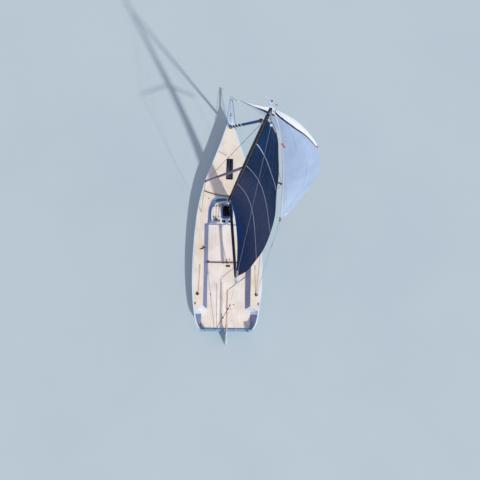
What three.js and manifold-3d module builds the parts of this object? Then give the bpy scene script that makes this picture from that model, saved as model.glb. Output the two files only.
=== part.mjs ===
// A light sportboat under sail, in millimetres. +X is starboard, +Y is forward, +Z is up.
// The origin is on the centreline, at the waterline, midway along the hull.
import * as THREE from 'three';
import { mergeVertices } from 'three/addons/utils/BufferGeometryUtils.js';
import Module from 'manifold-3d';

const wasm = await Module();
wasm.setup();
const { Manifold, Mesh: SolidMesh } = wasm;

// Driving dimensions
const GAP = 0.3;                 // clearance between pieces that rest on each other
const HULL_LENGTH = 8500;
const TRANSOM_Y = -HULL_LENGTH / 2;
const BOW_Y = HULL_LENGTH / 2;
const STERN_FREEBOARD = 840;
const BOW_FREEBOARD = 1050;
const PANEL_THICKNESS = 6;
const RIM = 65;                  // bare gelcoat outside the deck panels

const COCKPIT = { front: -60, aft: -4150, topHalf: 905, soleHalf: 765, soleZ: 400 };
const STERN_WELL = { front: -3050, rim: 60, soleHalf: 970 };
// The side decks end in facets that slope down aft and sweep aft towards the sides
const FACET = { x: 800, y: -3400, rise: 0.4, sweep: 0.46 };
const SILL = { z: 470, half: 800, topHalf: 950 };   // low step across the open stern

const ROOF = { topZ: 1130, aftY: -60, wall: 40 };
const BAND = { thickness: 14, margin: 30, aftY: 80 };   // window band round the coachroof
const HATCH = { x: -75, y: 405, width: 300, length: 370, border: 85, rise: 30 };
const CABIN = { half: 600, aft: 20, front: 720, soleZ: -50 };
const WASHBOARD = { half: 225, bottom: 560, top: 1040, thickness: 30 };

const MAST = { footY: 850, footZ: ROOF.topZ, topZ: 12530, rake: 0.015, rx: 52, ry: 75 };
const MAST_COLLAR = { radius: 112, height: 45 };
const HOUNDS_Z = 11650;
const SPREADER = { rootZ: 7180, tipX: 1070, tipY: 330, chord: 95, thickness: 22 };
const CHAINPLATE = { x: 1075, y: 400 };
const FORESTAY_DECK_Y = 3790;
const STAY_RADIUS = 5;
const FLICKER = { length: 330, radius: 11, rise: 120 };  // strut that holds the backstay aft
const BRIDLE = { x: 410, y: TRANSOM_Y + 30, blockY: -3207, blockZ: 2600 };
const CRANE = { half: 36, aft: 90, front: 125, height: 40 };
const LAMP = { radius: 52, height: 26, rise: 120, forward: 100 };

const SPRIT = { radius: 38, aftY: 3960, tipY: 5000, z: 1085, rise: 0.035 };
const KEEL = { chord: 620, tipChord: 480, thickness: 72, y: 480, bottomZ: -1780 };
const BULB = { radius: 150, length: 1650, z: -1850, y: 420 };

const PINTLE_Y = TRANSOM_Y - 75;
const RUDDER = { front: -4365, chord: 440, thickness: 44, topZ: 700, bottomZ: -1350 };
const RUDDER_HEAD = { bottom: 712, top: 960, half: 34 };
const PINTLE_HEIGHTS = [426, 140];
const PINTLE = { radius: 9, collar: 8 };
const TILLER = { aftY: -4200, frontY: -2620, z: 1003, aftHalf: 27, frontHalf: 17, frontRise: 36 };
const EXTENSION = { tipX: 720, tipY: -2090, tipZ: 1115, radius: 13 };

const BOOM = { tackZ: 1720, length: 3180, angle: 5.2, half: 45, height: 120 };
const LUFF_OFFSET = 100;         // from the mast's foot axis aft to the sail's luff
const SAIL_THICKNESS = 8;

// The boom and the vang both turn about one upright pin line, along the sail's luff
const PIVOT = { pin: 7, bore: 7.9 };
const GOOSENECK = { z: BOOM.tackZ - 60, height: 190 };
const VANG_FOOT_Z = MAST.footZ + 180;

const DECK_WINCH = { x: 500, y: 40, radius: 62, height: 150 };
const TURNING_BLOCK = { x: 1145, y: -2800, radius: 62, height: 46 };
const JIB_TRACK = { half: 980, y: 1040, width: 34, height: 30 };
const TRAVELLER = { y: -1550, half: 764, width: 40, height: 44, carX: 15 };

// Colours, roughness and metalness of each finish
const finish = (color, roughness, metalness = 0) =>
  new THREE.MeshStandardMaterial({ color, roughness, metalness });
const FINISH = {
  gelcoat: () => finish(0xdfe8f2, 0.25),
  deck: () => finish(0xefe4d6, 0.7),
  glass: () => finish(0x1d4f8c, 0.08),
  darkGlass: () => finish(0x10141f, 0.08),
  frame: () => finish(0x6f8fbf, 0.4),
  carbon: () => finish(0x14161c, 0.35),
  alloy: () => finish(0xb9c2cc, 0.35, 0.9),
  steel: () => finish(0xc9ced4, 0.25, 1),
  lead: () => finish(0x4b5058, 0.6, 0.6),
  paint: () => finish(0xe9eef2, 0.3),
  wood: () => finish(0xa24a2a, 0.35),
  mainCloth: () => finish(0x2b3350, 0.6),
  kiteCloth: () => finish(0xb9cfe6, 0.5),
  jibCloth: () => finish(0x1b3a5c, 0.7),
  rope: () => finish(0xd9d2c4, 0.8),
  plastic: () => finish(0x1c1d22, 0.5),
};

const part = new THREE.Group();

function addMesh(name, geometry, material) {
  const mesh = new THREE.Mesh(geometry, material());
  mesh.name = name;
  part.add(mesh);
  return mesh;
}

// Solids to join and cut
function toSolid(geometry) {
  const bare = geometry.clone();
  bare.deleteAttribute('normal');
  bare.deleteAttribute('uv');
  const merged = mergeVertices(bare, 1e-3);
  return new Manifold(new SolidMesh({
    numProp: 3,
    vertProperties: new Float32Array(merged.attributes.position.array),
    triVerts: new Uint32Array(merged.index.array),
  }));
}

function toGeometry(solid) {
  const mesh = solid.getMesh();
  const geometry = new THREE.BufferGeometry();
  geometry.setAttribute('position', new THREE.BufferAttribute(new Float32Array(mesh.vertProperties), 3));
  geometry.setIndex(new THREE.BufferAttribute(new Uint32Array(mesh.triVerts), 1));
  return geometry;
}

const join = (...geometries) => toGeometry(geometries.map(toSolid).reduce((a, b) => a.add(b)));
const cut = (geometry, ...tools) =>
  toGeometry(tools.map(toSolid).reduce((a, b) => a.subtract(b), toSolid(geometry)));

// Basic shapes
function box(x0, x1, y0, y1, z0, z1) {
  const geometry = new THREE.BoxGeometry(x1 - x0, y1 - y0, z1 - z0);
  return geometry.translate((x0 + x1) / 2, (y0 + y1) / 2, (z0 + z1) / 2);
}

function upright(x, y, z0, z1, radius, sides = 20, topRadius = radius) {
  const geometry = new THREE.CylinderGeometry(topRadius, radius, z1 - z0, sides);
  return geometry.rotateX(Math.PI / 2).translate(x, y, (z0 + z1) / 2);
}

function rod(a, b, radius, sides = 8, endRadius = radius) {
  const start = new THREE.Vector3(...a);
  const axis = new THREE.Vector3(...b).sub(start);
  const geometry = new THREE.CylinderGeometry(endRadius, radius, axis.length(), sides);
  geometry.translate(0, axis.length() / 2, 0);
  geometry.applyQuaternion(new THREE.Quaternion().setFromUnitVectors(
    new THREE.Vector3(0, 1, 0), axis.clone().normalize()));
  return geometry.translate(start.x, start.y, start.z);
}

function prism(outline, z0, z1) {
  const shape = new THREE.Shape(outline.map(([x, y]) => new THREE.Vector2(x, y)));
  return new THREE.ExtrudeGeometry(shape, { depth: z1 - z0, bevelEnabled: false }).translate(0, 0, z0);
}

// Turns a closed indexed skin so that its faces point out
function outward(positions, index) {
  const at = (i) => new THREE.Vector3(...positions.slice(3 * i, 3 * i + 3));
  let volume = 0;
  for (let i = 0; i < index.length; i += 3) {
    const [a, b, c] = index.slice(i, i + 3).map(at);
    volume += a.dot(b.cross(c));
  }
  const geometry = new THREE.BufferGeometry();
  geometry.setAttribute('position', new THREE.Float32BufferAttribute(positions, 3));
  geometry.setIndex(volume > 0 ? index : index.slice().reverse());
  return geometry;
}

// A closed skin through rings of equal point count, capped at both ends
function loft(rings) {
  const count = rings[0].length;
  const positions = rings.flat(2);
  const index = [];
  for (let r = 0; r + 1 < rings.length; r++) {
    for (let i = 0; i < count; i++) {
      const a = r * count + i;
      const b = r * count + (i + 1) % count;
      index.push(a, b, b + count, a, b + count, a + count);
    }
  }
  const capStart = positions.length / 3;
  for (const ring of [rings[0], rings[rings.length - 1]]) {
    for (let k = 0; k < 3; k++) positions.push(ring.reduce((sum, p) => sum + p[k], 0) / count);
  }
  const last = (rings.length - 1) * count;
  for (let i = 0; i < count; i++) {
    const next = (i + 1) % count;
    index.push(capStart, next, i, capStart + 1, last + i, last + next);
  }
  return outward(positions, index);
}

// A thin closed sheet from a grid of points (rows of equal length), offset along its normals
function sheet(grid, thickness) {
  const rows = grid.length;
  const columns = grid[0].length;
  const at = (r, c) => grid[Math.min(rows - 1, Math.max(0, r))][Math.min(columns - 1, Math.max(0, c))];
  const shifted = (r, c, distance) => {
    const along = at(r, c + 1).clone().sub(at(r, c - 1));
    const up = at(Math.min(r + 1, rows - 1), c).clone().sub(at(r - 1, c));
    return at(r, c).clone().addScaledVector(along.cross(up).normalize(), distance);
  };
  const positions = [];
  for (const side of [0.5, -0.5]) {
    for (let r = 0; r < rows; r++) {
      for (let c = 0; c < columns; c++) positions.push(...shifted(r, c, side * thickness).toArray());
    }
  }
  const id = (side, r, c) => side * rows * columns + r * columns + c;
  const index = [];
  const quad = (a, b, c, d) => index.push(a, b, c, a, c, d);
  for (let r = 0; r + 1 < rows; r++) {
    for (let c = 0; c + 1 < columns; c++) {
      quad(id(0, r, c), id(0, r, c + 1), id(0, r + 1, c + 1), id(0, r + 1, c));
      quad(id(1, r, c), id(1, r + 1, c), id(1, r + 1, c + 1), id(1, r, c + 1));
    }
    quad(id(0, r, 0), id(0, r + 1, 0), id(1, r + 1, 0), id(1, r, 0));
    quad(id(0, r, columns - 1), id(1, r, columns - 1), id(1, r + 1, columns - 1), id(0, r + 1, columns - 1));
  }
  for (let c = 0; c + 1 < columns; c++) {
    quad(id(0, 0, c), id(1, 0, c), id(1, 0, c + 1), id(0, 0, c + 1));
    quad(id(0, rows - 1, c), id(0, rows - 1, c + 1), id(1, rows - 1, c + 1), id(1, rows - 1, c));
  }
  return outward(positions, index);
}

// A tube along points, of a section with few sides
function tube(points, radius, steps, sides = 8) {
  const section = new THREE.Shape();
  for (let i = 0; i < sides; i++) {
    const angle = (2 * Math.PI * i) / sides;
    const move = i === 0 ? 'moveTo' : 'lineTo';
    section[move](radius * Math.cos(angle), radius * Math.sin(angle));
  }
  section.closePath();
  const path = new THREE.CatmullRomCurve3(points.map((p) => new THREE.Vector3(...p)));
  return new THREE.ExtrudeGeometry(section, { steps, bevelEnabled: false, extrudePath: path });
}

const ABOVE = 2000;              // a height over everything that stands on the deck
const lerp = (a, b, t) => a + (b - a) * t;
const radians = (degrees) => (degrees * Math.PI) / 180;

function fromTable(rows, value, key, column) {
  const last = rows.length - 1;
  for (let i = 0; i < last; i++) {
    const [a, b] = [rows[i], rows[i + 1]];
    if (value <= b[key] || i === last - 1) {
      return lerp(a[column], b[column], (value - a[key]) / (b[key] - a[key]));
    }
  }
  return rows[last][column];
}

// Hull stations: place along the boat, half beam at the sheer, depth of the canoe body
// below the waterline, and fullness of the section (high is boxy, low is a V)
const STATIONS = [
  [-4250, 950, -20, 2.9],
  [-4080, 1105, 15, 2.8],
  [-3850, 1205, 50, 2.7],
  [-3370, 1290, 110, 2.6],
  [-2700, 1355, 185, 2.5],
  [-1900, 1378, 250, 2.5],
  [-1100, 1362, 290, 2.4],
  [-300, 1312, 310, 2.3],
  [500, 1222, 300, 2.2],
  [1100, 1105, 275, 2.1],
  [1700, 935, 240, 2.0],
  [2640, 580, 165, 1.8],
  [3300, 345, 110, 1.65],
  [3850, 165, 60, 1.5],
  [4250, 28, 20, 1.4],
].map(([y, half, depth, fullness]) => ({ y, half, depth, fullness }));

const halfBeamAt = (y) => fromTable(STATIONS, y, 'y', 'half');
const sheerFormula = (y) => {
  const t = (y - TRANSOM_Y) / HULL_LENGTH;
  return lerp(STERN_FREEBOARD, BOW_FREEBOARD, 0.15 * t + 0.85 * t * t);
};
for (const station of STATIONS) station.sheer = sheerFormula(station.y);
const deckZ = (y) => fromTable(STATIONS, y, 'y', 'sheer');

function hullRing({ y, half, depth, fullness, sheer }) {
  const steps = 11;
  const side = [];
  for (let i = 0; i <= steps; i++) {
    const angle = (Math.PI / 2) * (i / steps);
    const x = half * Math.sin(angle) ** (2 / fullness);
    const z = sheer - (sheer + depth) * Math.cos(angle) ** (2 / 2.4);
    side.push([x, z]);
  }
  const starboard = side.map(([x, z]) => [x, y, z]);
  const port = side.slice(1).reverse().map(([x, z]) => [-x, y, z]);
  return [...starboard, ...port];
}

// The cockpit well, wider at the deck than at the sole, open into the cut-down stern
function wellCutter({ front, aft, topHalf, soleHalf, frontSlope = 0 }) {
  const top = 1400;
  const flare = (topHalf - soleHalf) / (deckZ(-2000) - COCKPIT.soleZ);
  const widest = soleHalf + flare * (top - COCKPIT.soleZ);
  const ring = (y, topShift) => [
    [-soleHalf, y, COCKPIT.soleZ], [-widest, y + topShift, top],
    [widest, y + topShift, top], [soleHalf, y, COCKPIT.soleZ],
  ];
  return loft([ring(aft, 0), ring(front, frontSlope)]);
}

// Where the facets at the side decks' ends lie, at a distance from the centreline and a height
const facetY = (x, z) =>
  FACET.y + FACET.rise * (z - COCKPIT.soleZ) - FACET.sweep * (Math.abs(x) - FACET.x);

// Everything within reach between the facets, moved aft by shift, and a place forward or aft of them
function beyondFacets(shift, limitY, low, high) {
  const side = (x) => [
    [x, facetY(x, low) - shift, low], [x, facetY(x, high) - shift, high], [x, limitY, high], [x, limitY, low],
  ];
  return toSolid(loft([side(-1600), side(0), side(1600)]));
}

function sternCutter() {
  const ring = (y) => {
    const topHalf = halfBeamAt(y) - STERN_WELL.rim;
    const soleHalf = Math.min(STERN_WELL.soleHalf, topHalf - 70);
    return [
      [-soleHalf, y, COCKPIT.soleZ], [-topHalf, y, deckZ(y) - 60], [-topHalf, y, 1400],
      [topHalf, y, 1400], [topHalf, y, deckZ(y) - 60], [soleHalf, y, COCKPIT.soleZ],
    ];
  };
  const well = toSolid(loft([COCKPIT.aft, -4080, -3850, -3370, STERN_WELL.front].map(ring)));
  return toGeometry(well.subtract(beyondFacets(0, -2500, 300, 1500)));
}

// The opening in the stern above its sill
function sillCutter() {
  const { z, half, topHalf } = SILL;
  return loft([TRANSOM_Y - 50, COCKPIT.aft + 60].map((y) =>
    [[-half, y, z], [-topHalf, y, 1400], [topHalf, y, 1400], [half, y, z]]));
}

function makeHull() {
  const shell = loft(STATIONS.map(hullRing));
  const w = WASHBOARD;
  return cut(shell,
    wellCutter(COCKPIT),
    sternCutter(),
    sillCutter(),
    box(-CABIN.half, CABIN.half, CABIN.aft, CABIN.front, CABIN.soleZ, 2000),
    box(-430, 430, CABIN.front - 10, 1900, 60, 800),
    box(HATCH.x - w.half, HATCH.x + w.half, COCKPIT.front - 50, CABIN.aft + 50, w.bottom, 2000));
}

// The mouldings of the hull meet at the level of the sole and at the cabin's aft end. Each is
// the part of the hull inside limits in x, y and z.
function makeMouldings() {
  const hull = toSolid(makeHull());
  const far = HULL_LENGTH;
  const { front, aft, soleZ } = COCKPIT;
  const above = soleZ + GAP;
  const limits = {
    aft_hull: [-far, far, -far, CABIN.aft - GAP, -far, soleZ],
    fore_hull: [-far, far, CABIN.aft, far, -far, far],
    port_topside: [-far, 0, aft + GAP, front - GAP, above, far],
    starboard_topside: [0, far, aft + GAP, front - GAP, above, far],
    transom: [-far, far, -far, aft, above, far],
    cabin_bulkhead: [-far, far, front, CABIN.aft - GAP, above, far],
  };
  return Object.entries(limits).map(([name, l]) => [name, toGeometry(hull.intersect(toSolid(box(...l))))]);
}

// A strip of deck panel between two edges, following the sheer
function deckStrip(y0, y1, innerEdge, outerEdge) {
  const ys = [y0, ...STATIONS.map((s) => s.y).filter((y) => y > y0 + 1 && y < y1 - 1), y1];
  const rings = ys.map((y) => {
    const [a, b] = [innerEdge(y), outerEdge(y)];
    const low = deckZ(y) + GAP;
    const high = low + PANEL_THICKNESS;
    return [[a, y, low], [a, y, high], [b, y, high], [b, y, low]];
  });
  return loft(rings);
}

// Coachroof outlines, starboard half, from the aft end round to the centreline
const ROOF_BASE = [[820, ROOF.aftY], [808, 450], [765, 660], [690, 830], [560, 925], [380, 970], [0, 985]];
const ROOF_TOP = [[705, ROOF.aftY], [692, 420], [655, 600], [590, 735], [480, 815], [330, 855], [0, 880]];

const mirrored = (half) => [...half, ...half.slice(0, -1).reverse().map(([x, y]) => [-x, y])];

function roofLoft(inset, baseZ, topZ) {
  const shrink = ([x, y]) => [Math.max(0, x - inset) * Math.sign(x || 1), y > 0 ? y - inset : y];
  const z0 = deckZ(400);
  const full = ROOF.topZ - z0;
  const outline = (z) => ROOF_BASE.map((p, i) => {
    const t = (z - z0) / full;
    return shrink([lerp(p[0], ROOF_TOP[i][0], t), lerp(p[1], ROOF_TOP[i][1], t)]);
  });
  const ring = (z) => mirrored(outline(z)).map(([x, y]) => [x, y, z]);
  return loft([ring(baseZ), ring(topZ)]);
}

// What lies above the deck, from the cockpit to forward of the mast
function roofSeat() {
  return loft([-600, 500, 1100, 1700].map((y) => {
    const z = deckZ(y) + GAP;
    return [[-ABOVE, y, z], [-ABOVE, y, ABOVE], [ABOVE, y, ABOVE], [ABOVE, y, z]];
  }));
}

function hatchHole(margin, z0, z1) {
  const h = HATCH;
  return box(h.x - h.width / 2 - margin, h.x + h.width / 2 + margin,
    h.y - h.length / 2 - margin, h.y + h.length / 2 + margin, z0, z1);
}

function bandSolid(extra) {
  const bottom = deckZ(1100) + BAND.margin - extra;
  const top = ROOF.topZ - BAND.margin + extra;
  const outer = toSolid(roofLoft(0, bottom, top));
  const inner = toSolid(roofLoft(BAND.thickness + extra, bottom - 1, top + 1));
  const aft = toSolid(box(-2000, 2000, -1000, BAND.aftY - extra, 0, 2000));
  return outer.subtract(inner).subtract(aft);
}

function makeCoachroof() {
  const body = toSolid(roofLoft(0, deckZ(1100) - 200, ROOF.topZ)).intersect(toSolid(roofSeat()));
  const ceiling = ROOF.topZ - ROOF.wall;
  const hollow = toSolid(box(-CABIN.half, CABIN.half, CABIN.aft, CABIN.front - 130, 0, ceiling));
  const [left, right] = [HATCH.x - WASHBOARD.half, HATCH.x + WASHBOARD.half];
  const doorway = toSolid(box(left, right, ROOF.aftY - 50, CABIN.aft + 50, 0, WASHBOARD.top));
  const collar = toSolid(upright(0, MAST.footY, 900, ROOF.topZ, MAST_COLLAR.radius + 20, 24))
    .intersect(toSolid(roofSeat()));
  return toGeometry(body.subtract(bandSolid(GAP)).add(collar)
    .subtract(hollow).subtract(doorway).subtract(toSolid(hatchHole(0, 900, 1400))));
}

function makeCabinWindow(side) {
  const collar = toSolid(upright(0, MAST.footY, 800, 1400, MAST_COLLAR.radius + 21, 24));
  const half = toSolid(box(Math.min(0, side * 2000), Math.max(0, side * 2000), -500, 2000, 0, 2000));
  return toGeometry(bandSolid(0).subtract(collar).intersect(half));
}

function makeHatchFrame() {
  const z0 = ROOF.topZ + GAP;
  return cut(hatchHole(HATCH.border, z0, z0 + HATCH.rise), hatchHole(0, z0 - 10, z0 + 100));
}

// Coachroof panel: flat cream top, cut round the hatch frame and the mast
function makeRoofPanel() {
  const half = ROOF_TOP.map(([x, y]) => [Math.max(0, x - 25), y > 0 ? y - 25 : y + 25]);
  const z0 = ROOF.topZ + GAP;
  const panel = prism(mirrored(half), z0, z0 + PANEL_THICKNESS);
  return cut(panel, hatchHole(HATCH.border + 1, z0 - 10, z0 + 100),
    upright(0, MAST.footY, z0 - 10, z0 + 100, MAST_COLLAR.radius + 21, 24));
}

// Foil section rings for the keel and the rudder
function foilRing(y0, chord, thickness, z) {
  const steps = 9;
  const points = [];
  for (let i = 0; i <= steps; i++) {
    const t = (1 - Math.cos((Math.PI * i) / steps)) / 2;
    const half = 5 * thickness * (0.2969 * Math.sqrt(t) - 0.126 * t - 0.3516 * t ** 2 + 0.2843 * t ** 3
      - 0.1015 * t ** 4) + 1.5;
    points.push([half, y0 - t * chord]);
  }
  const starboard = points.map(([x, y]) => [x, y, z]);
  const port = points.slice().reverse().map(([x, y]) => [-x, y, z]);
  return [...starboard, ...port];
}

function makeKeelFin() {
  const k = KEEL;
  const top = -hullDepthAt(k.y) + 60;
  const rings = [
    foilRing(k.y + k.tipChord / 2 - 20, k.tipChord, k.thickness, k.bottomZ),
    foilRing(k.y + k.chord / 2, k.chord, k.thickness, top),
  ];
  const clearance = toSolid(loft(STATIONS.map((s) =>
    hullRing({ ...s, depth: s.depth + GAP, half: s.half + GAP }))));
  return toGeometry(toSolid(loft(rings)).subtract(clearance));
}

const hullDepthAt = (y) => fromTable(STATIONS, y, 'y', 'depth');

function makeBulb() {
  const b = BULB;
  const profile = [];
  const steps = 14;
  for (let i = 0; i <= steps; i++) {
    const t = i / steps;
    const radius = i === 0 || i === steps ? 0 : b.radius * (Math.sin(Math.PI * t ** 0.8)) ** 0.7;
    profile.push(new THREE.Vector2(radius, -b.length * t));
  }
  const body = new THREE.LatheGeometry(profile.reverse(), 20);
  body.translate(0, b.y + b.length / 2, b.z);
  const socketRing = (margin, widen, z) =>
    foilRing(KEEL.y + KEEL.tipChord / 2 - 20 + margin, KEEL.tipChord + 2 * margin, KEEL.thickness + widen, z);
  const socket = loft([socketRing(2, 2, KEEL.bottomZ - GAP), socketRing(25, 6, KEEL.bottomZ + 400)]);
  return cut(body, socket);
}

const mastPoint = (z) => [0, MAST.footY - MAST.rake * (z - MAST.footZ), z];
const mastY = (z) => mastPoint(z)[1];

// The mast tapers towards its top, and its aft face stays straight for the luff
const MAST_TAPER = [
  { z: MAST.footZ, scale: 1 },
  { z: 8500, scale: 1 },
  { z: 11000, scale: 0.82 },
  { z: MAST.topZ, scale: 0.62 },
];
const mastScale = (z) => fromTable(MAST_TAPER, z, 'z', 'scale');
const mastMiddleY = (z) => mastY(z) - MAST.ry * (1 - mastScale(z));

function mastRing(z) {
  const sides = 16;
  const ring = [];
  for (let i = 0; i < sides; i++) {
    const angle = (2 * Math.PI * i) / sides;
    const scale = mastScale(z);
    ring.push([MAST.rx * scale * Math.cos(angle), mastMiddleY(z) + MAST.ry * scale * Math.sin(angle), z]);
  }
  return ring;
}

function makeMast() {
  const base = MAST.footZ + GAP;
  const rings = [base, ...MAST_TAPER.slice(1).map((row) => row.z)].map(mastRing);
  const collar = upright(0, MAST.footY, base, base + MAST_COLLAR.height, MAST_COLLAR.radius, 24,
    MAST_COLLAR.radius - 25);
  const ears = [-1, 1].map((side) => box(-18, 18, mastY(VANG_FOOT_Z) - LUFF_OFFSET - 14, MAST.footY - 20,
    VANG_FOOT_Z + side * 34 - 7, VANG_FOOT_Z + side * 34 + 7));
  return join(loft(rings), collar, ...ears, pivotPin(VANG_FOOT_Z, 38));
}

// Spreaders: flat swept struts that start at the mast wall
function makeSpreader(side) {
  const s = SPREADER;
  const start = [side * (MAST.rx + GAP), mastY(s.rootZ) - 10];
  const end = [side * s.tipX, s.tipY];
  const ring = ([x, y], chord, thickness, z) => [
    [x, y + chord / 2, z], [x, y, z + thickness / 2], [x, y - chord / 2, z], [x, y, z - thickness / 2],
  ];
  return loft([ring(start, s.chord, s.thickness, s.rootZ),
    ring(end, s.chord * 0.6, s.thickness * 0.8, s.rootZ + 20)]);
}

// Cap shroud: hounds, over the spreader's tip, to the chainplate
function makeShroud(side) {
  const tip = [side * (SPREADER.tipX + 9), SPREADER.tipY, SPREADER.rootZ + 20];
  const top = [side * (MAST.rx * mastScale(HOUNDS_Z) + STAY_RADIUS + 0.4), mastMiddleY(HOUNDS_Z), HOUNDS_Z];
  const foot = [side * CHAINPLATE.x, CHAINPLATE.y, deckZ(CHAINPLATE.y + 30) + PANEL_THICKNESS + 2];
  const knuckle = new THREE.SphereGeometry(STAY_RADIUS * 1.7, 10, 8).translate(...tip);
  const plate = box(foot[0] - 6, foot[0] + 6, foot[1] - 30, foot[1] + 30, foot[2] - 1.4, foot[2] + 90);
  return join(rod(top, tip, STAY_RADIUS), rod(tip, foot, STAY_RADIUS), knuckle, plate);
}

const MAST_TOP_Y = mastMiddleY(MAST.topZ);
const flickerTip = () => [0, MAST_TOP_Y - FLICKER.length, MAST.topZ + FLICKER.rise];

function makeBackstay() {
  const b = BRIDLE;
  const top = flickerTip();
  const start = [top[0], top[1] + 4, top[2] - FLICKER.radius - 2.6];
  const block = [0, b.blockY, b.blockZ];
  const pieces = [rod(start, block, STAY_RADIUS),
    rod([0, b.blockY, b.blockZ - 45], [0, b.blockY, b.blockZ + 45], 26, 12)];
  for (const side of [-1, 1]) {
    const foot = [side * b.x, b.y, SILL.z + 1];
    const eye = upright(foot[0], foot[1], foot[2], foot[2] + 30, 24, 12);
    pieces.push(rod(block, [foot[0], foot[1], foot[2] + 10], STAY_RADIUS), eye);
  }
  return join(...pieces);
}

const VANE = { x: 0, y: MAST_TOP_Y + LAMP.forward, z: MAST.topZ + 190, turn: 51, pointer: 165, tail: 60 };

function makeMastheadCrane() {
  const z = MAST.topZ + GAP;
  const y = MAST_TOP_Y;
  const cap = box(-CRANE.half, CRANE.half, y - CRANE.aft, y + CRANE.front, z, z + CRANE.height);
  const strut = rod([0, y - 40, z + 25], flickerTip(), FLICKER.radius, 10);
  const lampY = y + LAMP.forward;
  const lampTop = z + LAMP.rise + LAMP.height;
  const lampStalk = upright(0, lampY, z + 10, z + LAMP.rise, 9, 10);
  const lamp = upright(0, lampY, z + LAMP.rise - 1, lampTop, LAMP.radius, 20);
  const vanePost = upright(VANE.x, VANE.y, lampTop - 5, VANE.z, 5, 8);
  return join(cap, strut, lampStalk, lamp, vanePost);
}

function makeWindVane() {
  const hub = upright(0, 0, GAP, 28, 15, 16);
  const pointer = rod([0, VANE.pointer, 16], [0, -VANE.tail, 16], 4, 8);
  const fin = box(-2, 2, -VANE.tail - 70, -VANE.tail + 10, -26, 58);
  return join(hub, pointer, fin).rotateZ(radians(VANE.turn)).translate(VANE.x, VANE.y, VANE.z);
}

// Mainsail and boom, set to starboard. Columns: height, chord, angle off the centreline, camber
const MAIN_SECTIONS = [
  [1860, 2900, 5.2, 0.05],
  [2900, 2740, 12, 0.09],
  [4150, 2480, 17, 0.11],
  [5600, 2230, 21, 0.12],
  [7100, 1900, 24.5, 0.12],
  [8500, 1560, 27, 0.115],
  [9700, 1150, 29, 0.10],
  [10500, 880, 33, 0.09],
  [11250, 600, 36, 0.08],
  [11900, 420, 35, 0.06],
  [12300, 270, 30, 0.04],
].map(([z, chord, angle, camber]) => ({ z, chord, angle, camber }));

const luffPoint = (z) => [0, mastY(z) - LUFF_OFFSET, z];

function mainRow({ z, chord, angle, camber }) {
  const columns = 9;
  const row = [];
  const [x0, y0] = luffPoint(z);
  for (let i = 0; i <= columns; i++) {
    const t = i / columns;
    const belly = camber * chord * 4 * t * (1 - t) * (1.25 - 0.5 * t);
    const a = radians(angle);
    row.push(new THREE.Vector3(
      x0 + chord * t * Math.sin(a) + belly * Math.cos(a),
      y0 - chord * t * Math.cos(a) + belly * Math.sin(a), z));
  }
  return row;
}

const makeMainsail = () => sheet(MAIN_SECTIONS.map(mainRow), SAIL_THICKNESS);

// Swings out a piece that is drawn about the luff line at the boom's height
function swingOut(geometry) {
  const [x, y] = luffPoint(BOOM.tackZ);
  return geometry.rotateZ(radians(BOOM.angle)).translate(x, y, 0);
}

// A round bar on the pin line, centred at a height
function pivotBar(z, halfLength, radius) {
  return upright(0, luffPoint(z)[1], z - halfLength, z + halfLength, radius, 20);
}

const pivotPin = (z, halfLength) => pivotBar(z, halfLength, PIVOT.pin);

function makeBoom() {
  const b = BOOM;
  const body = box(-b.half, b.half, -b.length, -40, b.tackZ - b.height, b.tackZ);
  const clewSlide = box(-12, 12, -2960, -2840, b.tackZ - 1, b.tackZ + 138.4);
  const tackPost = box(-12, 12, -140, -45, b.tackZ - 1, b.tackZ + 138.4);
  const tang = box(-10, 10, -60, 11, b.tackZ - 85, b.tackZ - 35);
  return cut(swingOut(join(body, clewSlide, tackPost, tang)), pivotBar(b.tackZ - 60, 120, PIVOT.bore));
}

function makeGooseneck() {
  const y = luffPoint(GOOSENECK.z)[1];
  const mastBack = mastY(GOOSENECK.z) - MAST.ry;
  const plate = box(-22, 22, mastBack - 8, mastBack - 1.7, GOOSENECK.z - 95, GOOSENECK.z + 95);
  const arms = [-1, 1].map((side) => box(-20, 20, y - 16, mastBack - 7,
    GOOSENECK.z + side * 50 - 14, GOOSENECK.z + side * 50 + 14));
  return join(plate, ...arms, pivotPin(GOOSENECK.z, 60));
}

function makeVang() {
  const b = BOOM;
  const head = [0, -980, b.tackZ - b.height - 22];
  const lugShift = luffPoint(VANG_FOOT_Z)[1] - luffPoint(b.tackZ)[1];
  const foot = [0, lugShift - 9, VANG_FOOT_Z];
  const body = rod(foot, head, 19, 12, 14);
  const lug = upright(0, lugShift, foot[2] - 25, foot[2] + 25, 13, 14);
  const shoe = box(-16, 16, head[1] - 45, head[1] + 45, head[2] - 12, b.tackZ - b.height - GAP);
  return cut(swingOut(join(body, lug, shoe)), pivotBar(VANG_FOOT_Z, 90, PIVOT.bore));
}

// Gennaker, set to starboard. Columns: height at the luff and the leech, luff x and y, leech x
// and y, then as shares of the chord how far the luff's curve handle reaches off it, and how far
// the leech's handle reaches off it and along it
const KITE_SECTIONS = [
  [1350, 2600, 200, 4770, 1790, -20, 0.33, 0.41, -0.08],
  [2700, 3500, 215, 4310, 1660, 260, 0.30, 0.65, 0],
  [4300, 4800, 220, 3700, 1470, 480, 0.33, 0.85, 0.12],
  [6000, 6300, 215, 3060, 1240, 690, 0.45, 0.98, 0.25],
  [7500, 7700, 195, 2500, 1020, 720, 0.50, 1.0, 0.3],
  [9000, 9100, 160, 1960, 760, 790, 0.50, 1.05, 0.3],
  [10300, 10400, 115, 1490, 520, 760, 0.48, 1.0, 0.3],
  [11400, 11450, 70, 1100, 300, 760, 0.42, 0.85, 0.3],
  [12200, 12210, 30, 850, 90, 780, 0.3, 0.5, 0.3],
];

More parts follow.
